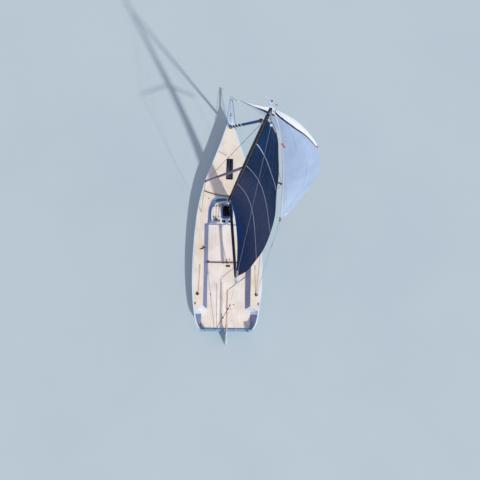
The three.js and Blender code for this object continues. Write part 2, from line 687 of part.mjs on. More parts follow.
function kiteRow([zLuff, zLeech, xl, yl, xe, ye, reachLuff, reachLeech, leechAlong]) {
  const chord = Math.hypot(xe - xl, ye - yl);
  const along = [(xe - xl) / chord, (ye - yl) / chord];
  const off = [-along[1], along[0]];
  const handle = (x, y, z, forward, reach) => new THREE.Vector3(
    x + chord * (forward * along[0] + reach * off[0]),
    y + chord * (forward * along[1] + reach * off[1]), z);
  const curve = new THREE.CubicBezierCurve3(
    new THREE.Vector3(xl, yl, zLuff), handle(xl, yl, lerp(zLuff, zLeech, 0.25), 0.28, reachLuff),
    handle(xe, ye, lerp(zLuff, zLeech, 0.75), leechAlong, reachLeech), new THREE.Vector3(xe, ye, zLeech));
  return curve.getPoints(14);
}

const makeGennaker = () => sheet(KITE_SECTIONS.map(kiteRow), SAIL_THICKNESS);

// Furled jib on the forestay, with its drum at the deck and its swivel aloft
function makeForestay() {
  const foot = new THREE.Vector3(0, FORESTAY_DECK_Y, deckZ(FORESTAY_DECK_Y + 60) + GAP);
  const head = new THREE.Vector3(0, mastMiddleY(HOUNDS_Z) + MAST.ry * mastScale(HOUNDS_Z) + 7, HOUNDS_Z);
  const along = (t) => foot.clone().lerp(head, t).toArray();
  const plate = box(-14, 14, FORESTAY_DECK_Y - 40, FORESTAY_DECK_Y + 40, foot.z, foot.z + 60);
  const drum = rod(along(0.006), along(0.018), 68, 20);
  return {
    stay: join(rod(along(0.001), along(1), STAY_RADIUS + 2), drum, plate),
    roll: cut(rod(along(0.022), along(0.935), 52, 14, 34), rod(along(0.01), along(1), STAY_RADIUS + 2 + GAP)),
    swivel: cut(rod(along(0.937), along(0.952), 46, 18), rod(along(0.9), along(1), STAY_RADIUS + 2 + GAP)),
  };
}

const spritPoint = (along) => [0, SPRIT.aftY + along, SPRIT.z + along * SPRIT.rise];

const makeBowsprit = () => rod(spritPoint(0), spritPoint(SPRIT.tipY - SPRIT.aftY), SPRIT.radius, 20);

function makeBowFitting() {
  const base = deckZ(4100) + GAP;
  const block = prism([[-130, 3850], [130, 3850], [35, BOW_Y], [-35, BOW_Y]], base - 60, base + 62);
  const clear = toSolid(loft([3500, 3850, BOW_Y, BOW_Y + 600].map((y) => {
    const z = deckZ(y) + 2 * GAP;
    return [[-900, y, 0], [-900, y, z], [900, y, z], [900, y, 0]];
  })));
  const ends = [-60, SPRIT.tipY - SPRIT.aftY + 60].map(spritPoint);
  const sprit = toSolid(rod(...ends, SPRIT.radius + GAP, 20));
  return toGeometry(toSolid(block).subtract(clear).subtract(sprit));
}

function makeBobstay() {
  const end = spritPoint(SPRIT.tipY - SPRIT.aftY - 60);
  const top = [0, end[1], end[2] - SPRIT.radius - 3];
  const foot = [0, BOW_Y + 12, 260];
  const plate = box(-8, 8, BOW_Y + GAP, BOW_Y + 30, 220, 300);
  return join(rod(top, foot, 4), plate);
}

function makeTackLine() {
  const end = spritPoint(SPRIT.tipY - SPRIT.aftY - 25);
  return rod([0, end[1], end[2] + SPRIT.radius + 4], [199.6, 4770.1, 1349], 5);
}

function makeGennakerSheet() {
  const b = TURNING_BLOCK;
  const block = [b.x, b.y, deckZ(b.y + b.radius) + PANEL_THICKNESS + 2 * GAP + b.height + 6.5];
  const clew = [1790, -21, 2596.5];
  return tube([clew, [1700, -560, 2050], [1530, -1250, 1560], [1330, -2080, 1170], block], 6, 30);
}

function makeTurningBlock(side) {
  const b = TURNING_BLOCK;
  const z = deckZ(b.y + b.radius) + PANEL_THICKNESS + 2 * GAP;
  return upright(side * b.x, b.y, z, z + b.height, b.radius, 24, b.radius * 0.85);
}

// Track for the jib sheet: an arc about the forestay's foot
function makeJibTrack() {
  const t = JIB_TRACK;
  const radius = FORESTAY_DECK_Y - t.y;
  const rings = [];
  const steps = 16;
  for (let i = 0; i <= steps; i++) {
    const x = lerp(-t.half, t.half, i / steps);
    const y = FORESTAY_DECK_Y - Math.sqrt(radius ** 2 - x ** 2);
    const z = deckZ(y + t.width / 2) + PANEL_THICKNESS + 2 * GAP;
    const [front, aft] = [y + t.width / 2, y - t.width / 2];
    rings.push([[x, aft, z], [x, aft, z + t.height], [x, front, z + t.height], [x, front, z]]);
  }
  return loft(rings);
}

function makeTraveller() {
  const t = TRAVELLER;
  const z = COCKPIT.soleZ + PANEL_THICKNESS + 2 * GAP;
  const track = box(-t.half, t.half, t.y - t.width / 2, t.y + t.width / 2, z, z + t.height);
  const car = box(t.carX - 55, t.carX + 55, t.y - 36, t.y + 36, z + 20, z + t.height + 26);
  return join(track, car);
}

// Mainsheet tackle from the traveller's car up to just below the boom
function makeMainsheet() {
  const t = TRAVELLER;
  const low = [t.carX, t.y, COCKPIT.soleZ + PANEL_THICKNESS + t.height + 2 * GAP + 26];
  const a = radians(BOOM.angle);
  const reach = 2300;
  const [luffX, luffY] = luffPoint(BOOM.tackZ);
  const high = [luffX + reach * Math.sin(a), luffY - reach * Math.cos(a), BOOM.tackZ - BOOM.height - 42];
  const parts = [-11, 11].map((shift) => rod([low[0] + shift, low[1], low[2] + 60],
    [high[0] + shift, high[1], high[2]], 5));
  parts.push(upright(low[0], low[1], low[2] + GAP, low[2] + 90, 30, 14));
  parts.push(rod([high[0] - 24, high[1], high[2]], [high[0] + 24, high[1], high[2]], 34, 16));
  return join(...parts);
}

function makeWinch(side) {
  const w = DECK_WINCH;
  const z = ROOF.topZ + PANEL_THICKNESS + 2 * GAP;
  const radii = [[0, 1], [0.12, 1], [0.16, 0.75], [0.6, 0.68], [0.85, 0.82], [0.9, 0.95], [1, 0.9]];
  const profile = [[0, 0], ...radii, [1, 0]].map(([t, r]) => new THREE.Vector2(w.radius * r, w.height * t));
  const drum = new THREE.LatheGeometry(profile, 24).rotateX(Math.PI / 2);
  return drum.translate(side * w.x, w.y, z);
}

// Rudder and its gear, which turn together about the pintles
function makeRudderBlade() {
  const r = RUDDER;
  const rings = [[r.bottomZ, 0.62], [r.bottomZ + 260, 0.86], [-200, 1], [r.topZ, 1]].map(([z, share]) =>
    foilRing(r.front, r.chord * share, r.thickness * share, z));
  const notches = PINTLE_HEIGHTS.map((z) => box(-60, 60, r.front - 22, r.front + 20, z - 34, z + 34));
  return cut(loft(rings), ...notches);
}

function makeRudderHead() {
  const h = RUDDER_HEAD;
  const stock = box(-h.half, h.half, RUDDER.front - 330, PINTLE_Y + 40, h.bottom - 11.7, h.top);
  const nose = box(-h.half, h.half, PINTLE_Y - 20, TILLER.aftY + 260, h.top - 60, h.top + 20 - GAP);
  return join(stock, nose);
}

function makePintles() {
  return PINTLE_HEIGHTS.map((z) => join(
    upright(0, PINTLE_Y, z - 33, z + 33, PINTLE.radius, 16),
    box(-14, 14, RUDDER.front - 21.7, PINTLE_Y, z - PINTLE.collar, z + PINTLE.collar)));
}

function makeGudgeon(z) {
  const [low, high] = [z + PINTLE.collar + GAP, z + 22];
  const plate = box(-60, 60, TRANSOM_Y - 12, TRANSOM_Y - GAP, z - 24, z + 24);
  const arm = box(-20, 20, PINTLE_Y, TRANSOM_Y - 6, low, high);
  const eye = upright(0, PINTLE_Y, low, high, 22, 20);
  return cut(join(plate, arm, eye), upright(0, PINTLE_Y, low - 5, high + 5, PINTLE.radius + 1.5, 16));
}

function makeTiller() {
  const t = TILLER;
  const ring = (y, half, z) => {
    const points = [];
    for (let i = 0; i < 12; i++) {
      const a = (2 * Math.PI * i) / 12;
      points.push([half * Math.cos(a), y, z + half * 0.85 * Math.sin(a)]);
    }
    return points;
  };
  return loft([ring(t.aftY - 60, t.aftHalf, t.z), ring(t.aftY + 500, t.aftHalf, t.z),
    ring(t.frontY, t.frontHalf, t.z + t.frontRise)]);
}

function makeExtension() {
  const t = TILLER;
  const top = t.z + t.frontRise + t.frontHalf * 0.85;
  const foot = [0, t.frontY - 30, top + EXTENSION.radius + 5];
  const pin = upright(0, foot[1], top + GAP, foot[2], 7, 10);
  const tip = [EXTENSION.tipX, EXTENSION.tipY, EXTENSION.tipZ];
  return join(rod(foot, tip, EXTENSION.radius, 10), pin);
}

// Hull and deck
for (const [name, geometry] of makeMouldings()) addMesh(name, geometry, FINISH.gelcoat);
addMesh('foredeck_panel', cut(
  deckStrip(1008, 3820, (y) => -(halfBeamAt(y) - RIM), (y) => halfBeamAt(y) - RIM),
  box(-20, 20, FORESTAY_DECK_Y - 45, 3900, 900, 1200)), FINISH.deck);
for (const [name, side] of [['port', -1], ['starboard', 1]]) {
  const inner = (y) => side * (y > COCKPIT.front ? 845 : COCKPIT.topHalf + 12);
  const strip = toSolid(deckStrip(-3450, 1000, inner, (y) => side * (halfBeamAt(y) - RIM)));
  addMesh(`${name}_side_deck_panel`,
    toGeometry(strip.subtract(beyondFacets(-20, -4000, 600, 1100))), FINISH.deck);
}
const sole = COCKPIT.soleZ + GAP;
const SOLE_HALVES = {
  cockpit_sole_panel: [[750, -75], [750, -1650]],
  aft_sole_panel: [[750, -1652], [750, -3400], [940, -3492], [940, -4060], [870, -4135]],
};
for (const [name, half] of Object.entries(SOLE_HALVES)) {
  const outline = [...half, ...half.slice().reverse().map(([x, y]) => [-x, y])];
  addMesh(name, prism(outline.reverse(), sole, sole + PANEL_THICKNESS), FINISH.deck);
}
addMesh('coachroof', makeCoachroof(), FINISH.gelcoat);
addMesh('coachroof_panel', makeRoofPanel(), FINISH.deck);
addMesh('port_cabin_window', makeCabinWindow(-1), FINISH.glass);
addMesh('starboard_cabin_window', makeCabinWindow(1), FINISH.glass);
addMesh('hatch_frame', makeHatchFrame(), FINISH.frame);
addMesh('washboard', box(HATCH.x - WASHBOARD.half + GAP, HATCH.x + WASHBOARD.half - GAP,
  ROOF.aftY + 15, ROOF.aftY + 15 + WASHBOARD.thickness,
  WASHBOARD.bottom + GAP, WASHBOARD.top - GAP), FINISH.darkGlass);
const foredeckTop = deckZ(2500) + PANEL_THICKNESS + 2;
addMesh('foredeck_hatch', loft([1700, 2520].map((y) => {
  const z = deckZ(y) + PANEL_THICKNESS + 2 * GAP;
  return [[-128, y, z], [-128, y, foredeckTop + 25], [128, y, foredeckTop + 25], [128, y, z]];
})), FINISH.darkGlass);
addMesh('bow_fitting', makeBowFitting(), FINISH.paint);
addMesh('bowsprit', makeBowsprit(), FINISH.paint);
addMesh('bobstay', makeBobstay(), FINISH.rope);

// Below the water
addMesh('keel_fin', makeKeelFin(), FINISH.paint);
addMesh('keel_bulb', makeBulb(), FINISH.lead);

// Rudder and its gear
addMesh('rudder_blade', makeRudderBlade(), FINISH.paint);
addMesh('rudder_head', makeRudderHead(), FINISH.paint);
makePintles().forEach((pintle, i) => addMesh(`${['upper', 'lower'][i]}_pintle`, pintle, FINISH.steel));
PINTLE_HEIGHTS.forEach((z, i) => addMesh(`${['upper', 'lower'][i]}_gudgeon`, makeGudgeon(z), FINISH.steel));
addMesh('tiller', makeTiller(), FINISH.wood);
addMesh('tiller_extension', makeExtension(), FINISH.carbon);

// Spars and standing rigging
addMesh('mast', makeMast(), FINISH.carbon);
addMesh('gooseneck', makeGooseneck(), FINISH.alloy);
for (const [name, side] of [['port', -1], ['starboard', 1]]) {
  addMesh(`${name}_spreader`, makeSpreader(side), FINISH.alloy);
  addMesh(`${name}_shroud`, makeShroud(side), FINISH.steel);
}
addMesh('masthead_crane', makeMastheadCrane(), FINISH.paint);
addMesh('wind_vane', makeWindVane(), FINISH.plastic);
addMesh('backstay', makeBackstay(), FINISH.rope);
const forestay = makeForestay();
addMesh('forestay', forestay.stay, FINISH.steel);
addMesh('furled_jib', forestay.roll, FINISH.jibCloth);
addMesh('furler_swivel', forestay.swivel, FINISH.plastic);
addMesh('boom', makeBoom(), FINISH.carbon);
addMesh('vang', makeVang(), FINISH.carbon);

// Sails and their lines
addMesh('mainsail', makeMainsail(), FINISH.mainCloth);
addMesh('gennaker', makeGennaker(), FINISH.kiteCloth);
addMesh('tack_line', makeTackLine(), FINISH.rope);
addMesh('gennaker_sheet', makeGennakerSheet(), FINISH.rope);

// Deck gear
addMesh('jib_track', makeJibTrack(), FINISH.carbon);
addMesh('mainsheet_traveller', makeTraveller(), FINISH.carbon);
addMesh('mainsheet_tackle', makeMainsheet(), FINISH.rope);
for (const [name, side] of [['port', -1], ['starboard', 1]]) {
  addMesh(`${name}_turning_block`, makeTurningBlock(side), FINISH.plastic);
  addMesh(`${name}_winch`, makeWinch(side), FINISH.alloy);
}

export default part;
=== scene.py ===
"""A sailing sportboat under mainsail and gennaker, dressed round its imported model.

Metres, +X starboard, +Y forward, +Z up, with the origin at the waterline amidships.
"""

import math

import bmesh
import bpy
from mathutils import Matrix, Vector


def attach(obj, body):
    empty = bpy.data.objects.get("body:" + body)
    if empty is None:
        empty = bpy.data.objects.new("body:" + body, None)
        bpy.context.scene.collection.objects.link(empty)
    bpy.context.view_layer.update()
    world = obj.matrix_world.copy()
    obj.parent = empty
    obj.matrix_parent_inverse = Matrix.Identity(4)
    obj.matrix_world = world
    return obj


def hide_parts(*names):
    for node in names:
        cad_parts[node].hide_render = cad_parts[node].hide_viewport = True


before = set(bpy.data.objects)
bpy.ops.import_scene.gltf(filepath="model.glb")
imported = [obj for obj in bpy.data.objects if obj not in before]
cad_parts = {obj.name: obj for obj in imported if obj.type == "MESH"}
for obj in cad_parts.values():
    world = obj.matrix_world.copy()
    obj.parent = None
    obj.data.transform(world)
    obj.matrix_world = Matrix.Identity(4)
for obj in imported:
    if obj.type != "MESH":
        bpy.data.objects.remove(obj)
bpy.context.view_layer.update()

# Camera, high over the port quarter, with the photograph's angle and framing
CAMERA_PLACE = (-1.3935, -2.8017, 22.6505)
CAMERA_TURNS = (-5.579, 4.865, -1.525)
CAMERA_LENS, CAMERA_SENSOR = 42, 36


def add_to_scene(name, data):
    made = bpy.data.objects.new(name, data)
    bpy.context.scene.collection.objects.link(made)
    return made


def add_camera():
    data = bpy.data.cameras.new("camera")
    data.lens = CAMERA_LENS
    data.sensor_width = CAMERA_SENSOR
    camera = add_to_scene("camera", data)
    turns = [Matrix.Rotation(math.radians(a), 3, axis) for a, axis in zip(CAMERA_TURNS, "XYZ")]
    to_camera = turns[2] @ turns[1] @ turns[0]
    camera.matrix_world = Matrix.Translation(CAMERA_PLACE) @ to_camera.transposed().to_4x4()
    bpy.context.scene.camera = camera


add_camera()

# Finishes


def tint(colour):
    """A screen colour, 0 to 255, as the linear colour that shaders take."""
    shares = [value / 255 for value in colour]
    return (*(v / 12.92 if v <= 0.04045 else ((v + 0.055) / 1.055) ** 2.4 for v in shares), 1)


class Nodes:
    """A node tree, with short ways to add what the finishes need."""

    def __init__(self, tree):
        self.tree = tree

    def node(self, kind, **settings):
        made = self.tree.nodes.new("ShaderNode" + kind)
        for name, value in settings.items():
            setattr(made, name, value)
        return made

    def plug(self, socket, value):
        """Links a socket to another one, or sets its number or colour."""
        if isinstance(value, bpy.types.NodeSocket):
            self.tree.links.new(value, socket)
        else:
            socket.default_value = value

    def plug_all(self, node, **values):
        """Feeds a node's inputs by name. Words in a name are joined by underscores."""
        for name, value in values.items():
            self.plug(node.inputs[name.replace("_", " ")], value)
        return node.outputs

    def maths(self, operation, *values):
        node = self.node("Math", operation=operation)
        for socket, value in zip(node.inputs, values):
            self.plug(socket, value)
        return node.outputs[0]

    def times(self, first, second):
        return self.maths("MULTIPLY", first, second)

    def ranged(self, value, low, high, to_low=0.0, to_high=1.0, ends="SMOOTHSTEP"):
        """value, stretched from low..high to to_low..to_high and held there, with soft ends."""
        node = self.node("MapRange", interpolation_type=ends)
        return self.plug_all(node, Value=value, From_Min=low, From_Max=high, To_Min=to_low, To_Max=to_high)[0]

    def mixed(self, share, first, second):
        node = self.node("Mix", data_type="RGBA")
        factor, one, other = 0, 6, 7
        for place, value in ((factor, share), (one, first), (other, second)):
            self.plug(node.inputs[place], value)
        return node.outputs[2]

    def place(self):
        return self.node("TexCoord").outputs["Object"]

    def map_parts(self):
        """The two coordinates of the piece's own map."""
        return self.plug_all(self.node("SeparateXYZ"), Vector=self.node("UVMap").outputs[0])[:2]

    def noise(self, place, scale, detail=3.0, stretch=None):
        if stretch:
            place = self.plug_all(self.node("Mapping"), Vector=place, Scale=stretch)[0]
        return self.plug_all(self.node("TexNoise"), Vector=place, Scale=scale, Detail=detail)["Fac"]

    def tone(self, number):
        """A value of its own for every whole number."""
        return self.plug_all(self.node("TexWhiteNoise", noise_dimensions="1D"), W=number)["Value"]

    def group(self, group, **values):
        return self.plug_all(self.node("Group", node_tree=group), **values)


def effect(name, inputs, outputs, draw):
    """A node group that several finishes share: its inputs with their usual values, and its outputs' names.
    draw adds the nodes and gives the outputs in order."""
    tree = bpy.data.node_groups.new(name, "ShaderNodeTree")
    for label, value in inputs.items():
        kind = "Color" if isinstance(value, tuple) else "Float"
        socket = tree.interface.new_socket(name=label, in_out="INPUT", socket_type="NodeSocket" + kind)
        socket.default_value = value
    for label in outputs:
        kind = "Color" if label == "Colour" else "Float"
        tree.interface.new_socket(name=label, in_out="OUTPUT", socket_type="NodeSocket" + kind)
    nodes = Nodes(tree)
    given = tree.nodes.new("NodeGroupInput").outputs
    result = tree.nodes.new("NodeGroupOutput").inputs
    for socket, value in zip(result, draw(nodes, given)):
        nodes.plug(socket, value)
    return tree


def draw_weathering(n, given):
    """Slow changes of colour and gloss, and the dulling that sun and salt leave."""
    place = n.place()
    patches = n.ranged(n.noise(place, given["Scale"], 5), 0.38, 0.68)
    shade = n.mixed(n.times(patches, given["Share"]), given["Colour"], given["Worn colour"])
    gloss = n.noise(place, n.times(given["Scale"], 3.7), 3)
    return shade, n.ranged(gloss, 0.35, 0.65, given["Smoothest"], given["Roughest"], "LINEAR")


def draw_edge_wear(n, given):
    """Where an edge stands proud and has rubbed bare."""
    sharp = n.ranged(n.node("NewGeometry").outputs["Pointiness"], 0.55, 0.66)
    patches = n.ranged(n.noise(n.place(), 25.0, 4), 0.42, 0.62)
    return [n.times(n.times(sharp, patches), given["Amount"])]


def draw_grain(n, given):
    """Fine unevenness, for the height of a bump."""
    return [n.times(n.noise(n.place(), given["Scale"], 2), given["Depth"])]


def draw_planks(n, given):
    """Lengthwise strips: the line between two, a tone for each, and the height of all but the line."""
    strips = n.maths("DIVIDE", n.map_parts()[0], given["Spacing"])
    spot = n.maths("ABSOLUTE", n.maths("SUBTRACT", n.maths("FRACT", strips), 0.5))
    line = n.maths("LESS_THAN", n.maths("SUBTRACT", 0.5, spot), given["Line"])
    return line, n.tone(n.maths("FLOOR", strips)), n.maths("SUBTRACT", 1.0, line)


def draw_weave(n, given):
    """Crossed threads along the map's two directions."""
    warp, weft = (n.maths("SINE", n.times(part, given["Threads"])) for part in n.map_parts())
    return [n.times(warp, weft)]


def draw_braid(n, given):
    """Crossed strands round a rope: the map runs once round it, and along it in metres."""
    around, along = n.map_parts()
    turn = n.times(around, given["Strands"])
    step = n.maths("DIVIDE", along, given["Pitch"])
    strands = [n.maths(way, turn, step) for way in ("ADD", "SUBTRACT")]
    left, right = (n.maths("SINE", n.times(strand, 2 * math.pi)) for strand in strands)
    return n.maths("MAXIMUM", left, right), n.ranged(n.times(left, right), 0.55, 0.75)


def draw_streaks(n, given):
    """Long brushed lines along the part, for drawn metal and laid fibre."""
    return [n.times(n.noise(n.place(), 60.0, 3, (9, 9, 0.35)), given["Depth"])]


WEATHERING = effect("weathering", {
    "Colour": (0.8, 0.8, 0.8, 1), "Worn colour": (0.6, 0.6, 0.6, 1), "Scale": 3.0, "Share": 0.5,
    "Smoothest": 0.3, "Roughest": 0.5,
}, ["Colour", "Roughness"], draw_weathering)
EDGE_WEAR = effect("edge_wear", {"Amount": 0.5}, ["Mask"], draw_edge_wear)
GRAIN = effect("fine_grain", {"Scale": 300.0, "Depth": 0.5}, ["Height"], draw_grain)
PLANKS = effect("plank_lines", {"Spacing": 0.1, "Line": 0.06}, ["Line", "Tone", "Groove"], draw_planks)
WEAVE = effect("cloth_weave", {"Threads": 400.0}, ["Height"], draw_weave)
BRAID = effect("rope_braid", {"Pitch": 0.03, "Strands": 8.0}, ["Height", "Fleck"], draw_braid)
STREAKS = effect("drawn_lines", {"Depth": 0.5}, ["Height"], draw_streaks)


class Finish(Nodes):
    """A material and its shader, with the numbers that are the same all over the surface."""

    def __init__(self, name, **even):
        self.material = bpy.data.materials.new(name)
        self.material.use_nodes = True
        super().__init__(self.material.node_tree)
        self.shader = self.tree.nodes["Principled BSDF"]
        self.plug_all(self.shader, **even)

    def complete(self, shade, roughness, height, strength, distance):
        """Feeds the shader its colour, its roughness and a bump."""
        bump = self.plug_all(self.node("Bump"), Strength=strength, Distance=distance, Height=height)[0]
        self.plug_all(self.shader, Base_Color=shade, Roughness=roughness, Normal=bump)
        return self.material


def smooth_finish(name, colour, worn, rough, scale, share, metal=0.0, coat=0.0, sheen=0.0, gloss=0.5,
                  grain=300.0, depth=0.0004, wear=0.0, bare=None, lines=False, glow=0.0):
    """A moulded, painted or metal finish with weathering, fine grain and rubbed edges. glow is an even
    painted glow, for the light that comes through thin cloth."""
    f = Finish(name, Metallic=metal, Coat_Weight=coat, Sheen_Weight=sheen, Specular_IOR_Level=gloss)
    surface = f.group(WEATHERING, Colour=tint(colour), Worn_colour=tint(worn), Scale=scale, Share=share,
                      Smoothest=rough[0], Roughest=rough[1])
    shade = surface["Colour"]
    if wear:
        shade = f.mixed(f.group(EDGE_WEAR, Amount=wear)["Mask"], shade, tint(bare))
    if glow:
        f.plug_all(f.shader, Emission_Color=shade, Emission_Strength=glow)
    height = f.group(STREAKS, Depth=1.0) if lines else f.group(GRAIN, Scale=grain, Depth=1.0)
    return f.complete(shade, surface["Roughness"], height["Height"], 0.5, depth)


def planked_finish(name, colour, worn, joint_colour, spacing, line, tone, joint):
    """Cream non-slip decking laid in lengthwise strips with fine dark joints."""
    f = Finish(name)
    surface = f.group(WEATHERING, Colour=tint(colour), Worn_colour=tint(worn), Scale=1.7, Share=0.75,
                      Smoothest=0.5, Roughest=0.72)
    planks = f.group(PLANKS, Spacing=spacing, Line=line)
    toned = f.mixed(f.times(planks["Tone"], tone), surface["Colour"], tint(worn))
    jointed = f.mixed(f.times(planks["Line"], joint), toned, tint(joint_colour))
    grit = f.group(GRAIN, Scale=700.0, Depth=0.35)["Height"]
    return f.complete(jointed, surface["Roughness"], f.maths("ADD", planks["Groove"], grit), 0.6, 0.0012)


def rope_finish(name, colour, fleck):
    """Braided rope, with flecks of a second yarn."""
    f = Finish(name, Sheen_Weight=0.3)
    surface = f.group(WEATHERING, Colour=tint(colour), Worn_colour=tint(fleck), Scale=9.0, Share=0.35,
                      Smoothest=0.67, Roughest=0.85)
    braid = f.group(BRAID, Pitch=0.045, Strands=4.0)
    shade = f.mixed(braid["Fleck"], surface["Colour"], tint(fleck))
    return f.complete(shade, surface["Roughness"], braid["Height"], 0.7, 0.0015)


def wood_finish():
    """Varnished laminated wood, red-brown forward and paler aft, with long grain."""
    f = Finish("varnished_tiller_wood", Coat_Weight=0.5)
    place = f.place()
    grain = f.noise(place, 30.0, 5, (14, 0.7, 14))
    shade = f.mixed(f.ranged(grain, 0.35, 0.7), tint((196, 132, 96)), tint((158, 84, 58)))
    aft = f.ranged(f.plug_all(f.node("SeparateXYZ"), Vector=place)[1], -3.1, -3.8)
    shade = f.mixed(f.times(aft, 0.75), shade, tint((232, 196, 160)))
    shade = f.mixed(f.group(EDGE_WEAR, Amount=0.5)["Mask"], shade, tint((236, 206, 170)))
    surface = f.group(WEATHERING, Scale=5.0, Smoothest=0.22, Roughest=0.4)
    return f.complete(shade, surface["Roughness"], grain, 0.4, 0.0006)


def mainsail_finish():
    """Dark laminate with faint fibres. Its teal navy aloft and slate violet below are painted light, and it
    turns deeper blue at the front of the foot.
    """
    f = Finish("mainsail_laminate", Specular_IOR_Level=0.05)
    along, up = f.map_parts()
    place = f.place()
    cloud = f.times(f.maths("SUBTRACT", f.noise(place, 0.9, 4), 0.5), 0.16)
    height = f.maths("SUBTRACT", f.maths("ADD", up, cloud), f.times(along, 0.07))
    # Painted light: teal navy aloft, slate violet below
    shade = f.mixed(f.ranged(height, 0.02, 0.35), tint((38, 60, 104)), tint((64, 76, 112)))
    shade = f.mixed(f.ranged(height, 0.38, 0.62), shade, tint((4, 54, 98)))
    shade = f.mixed(f.ranged(height, 0.72, 0.95), shade, tint((0, 62, 110)))
    foot = f.times(f.ranged(up, 0.075, 0.03), f.ranged(along, 0.62, 0.5))
    shade = f.mixed(f.times(foot, 0.95), shade, tint((12, 66, 130)))
    fibre = f.ranged(f.noise(place, 14.0, 3, (1, 1, 0.12)), 0.45, 0.75)
    shade = f.mixed(f.times(fibre, 0.06), shade, tint((76, 90, 130)))
    surface = f.group(WEATHERING, Scale=2.0, Smoothest=0.5, Roughest=0.68)
    weave = f.group(WEAVE, Threads=3000.0)["Height"]
    creases = f.times(f.noise(place, 2.2, 3, (1, 1, 0.5)), 14.0)
    return f.complete(shade, surface["Roughness"], f.maths("ADD", weave, creases), 0.6, 0.0022)


def gennaker_finish():
    """Thin nylon in pale blue grey, partly painted shade, with panel tones that fan out from the corners. It
    has a little painted glow, for the light through thin cloth.
    """
    f = Finish("gennaker_nylon", Sheen_Weight=0.3, Emission_Strength=0.12)
    along, up = f.map_parts()
    place = f.place()
    shade = f.mixed(f.ranged(f.noise(place, 0.8, 4), 0.35, 0.7), tint((176, 200, 230)), tint((156, 182, 216)))
    shade = f.mixed(f.times(f.ranged(up, 0.35, 0.05), 0.6), shade, tint((196, 216, 238)))
    fan = f.maths("ARCTAN2", f.maths("SUBTRACT", along, 0.5), f.maths("SUBTRACT", 1.08, up))
    panel = f.tone(f.maths("FLOOR", f.times(fan, 9.0)))
    shade = f.mixed(f.times(panel, 0.3), shade, tint((140, 168, 206)))
    # A painted glow, for the light through thin nylon
    f.plug_all(f.shader, Emission_Color=shade)
    surface = f.group(WEATHERING, Scale=2.0, Smoothest=0.4, Roughest=0.6)
    weave = f.group(WEAVE, Threads=5000.0)["Height"]
    creases = f.times(f.noise(place, 2.6, 3), 16.0)
    return f.complete(shade, surface["Roughness"], f.maths("ADD", weave, creases), 0.5, 0.002)


# Each smooth finish: its colour, its worn colour, its roughness from and to, and the worn patches' scale
# and share
GELCOAT = smooth_finish(
    "white_gelcoat", (226, 237, 244), (190, 210, 226), (0.22, 0.38), 1.2, 0.6,
    coat=0.4, depth=0.0002, grain=60)
# Blue grey gelcoat, also used for a painted shade line on the step face over the sill
BLUE_GELCOAT_AND_SHADE = smooth_finish(
    "blue_grey_gelcoat_and_painted_shade", (118, 134, 176), (92, 108, 150), (0.3, 0.45), 2.0, 0.7,
    coat=0.2, depth=0.0003, grain=120)
# The rim's pale blue is painted sky-blue shade on the white gelcoat
RIM_PAINTED_SKY_SHADE = smooth_finish(
    "rim_gelcoat_painted_sky_shade", (126, 168, 206), (108, 148, 188), (0.25, 0.4), 1.5, 0.5,
    coat=0.3, depth=0.0002, grain=80)
# The window's bright blue is partly painted sky reflection on dark tinted acrylic
WINDOW_BLUE = smooth_finish(
    "window_acrylic", (15, 96, 152), (10, 70, 122), (0.08, 0.16), 2.0, 0.6,
    coat=0.6, depth=0.0001, grain=30)
DARK_PANE = smooth_finish(
    "dark_acrylic", (16, 22, 52), (8, 12, 30), (0.07, 0.15), 2.5, 0.6,
    coat=0.6, depth=0.0001, grain=30)
# The hatch frame's blue is painted sky reflection on a pale frame
FRAME_PAINTED_REFLECTION = smooth_finish(
    "hatch_frame_painted_reflection", (84, 126, 192), (62, 100, 166), (0.28, 0.42), 6.0, 0.5,
    metal=0.2, coat=0.2, wear=0.6, bare=(190, 200, 214))
CARBON = smooth_finish(
    "lacquered_carbon", (4, 8, 24), (12, 16, 34), (0.5, 0.65), 5.0, 0.6,
    gloss=0.12, wear=0.1, bare=(70, 72, 90), lines=True)
BOOM_CARBON = smooth_finish(
    "navy_carbon", (20, 26, 60), (34, 36, 70), (0.4, 0.55), 5.0, 0.6,
    gloss=0.25, wear=0.15, bare=(100, 98, 118), lines=True)
ALLOY = smooth_finish(
    "anodised_alloy", (188, 194, 204), (150, 154, 166), (0.3, 0.45), 8.0, 0.5,
    metal=0.85, wear=0.5, bare=(220, 224, 230), lines=True)
SPREADER_ALLOY = smooth_finish(
    "spreader_alloy", (112, 104, 118), (78, 70, 86), (0.32, 0.46), 5.0, 0.6,
    metal=0.55, wear=0.5, bare=(180, 176, 188), lines=True)
STEEL = smooth_finish(
    "bright_steel", (196, 200, 208), (160, 164, 174), (0.16, 0.3), 12.0, 0.5,
    metal=1.0, lines=True)
WIRE = smooth_finish("stay_wire", (92, 88, 104), (64, 62, 78), (0.3, 0.45), 20.0, 0.5, metal=0.6, lines=True)
TRACK_BROWN = smooth_finish(
    "track_anodising", (88, 66, 76), (62, 46, 56), (0.35, 0.5), 10.0, 0.5,
    metal=0.5, wear=0.6, bare=(170, 160, 164), lines=True)
WHITE_PAINT = smooth_finish(
    "white_paint", (206, 222, 244), (176, 196, 224), (0.25, 0.4), 3.0, 0.5,
    coat=0.3, wear=0.4, bare=(150, 158, 170))
SPRIT_PAINT = smooth_finish(
    "sprit_paint", (188, 206, 232), (160, 182, 214), (0.25, 0.4), 6.0, 0.5,
    coat=0.3, wear=0.4, bare=(120, 130, 146))
RUDDER_PAINT = smooth_finish(
    "rudder_paint", (206, 224, 230), (170, 194, 206), (0.28, 0.42), 3.0, 0.6,
    coat=0.2, wear=0.3, bare=(140, 150, 164))
KEEL_PAINT = smooth_finish("keel_paint", (206, 214, 222), (168, 178, 190), (0.35, 0.5), 2.0, 0.7)
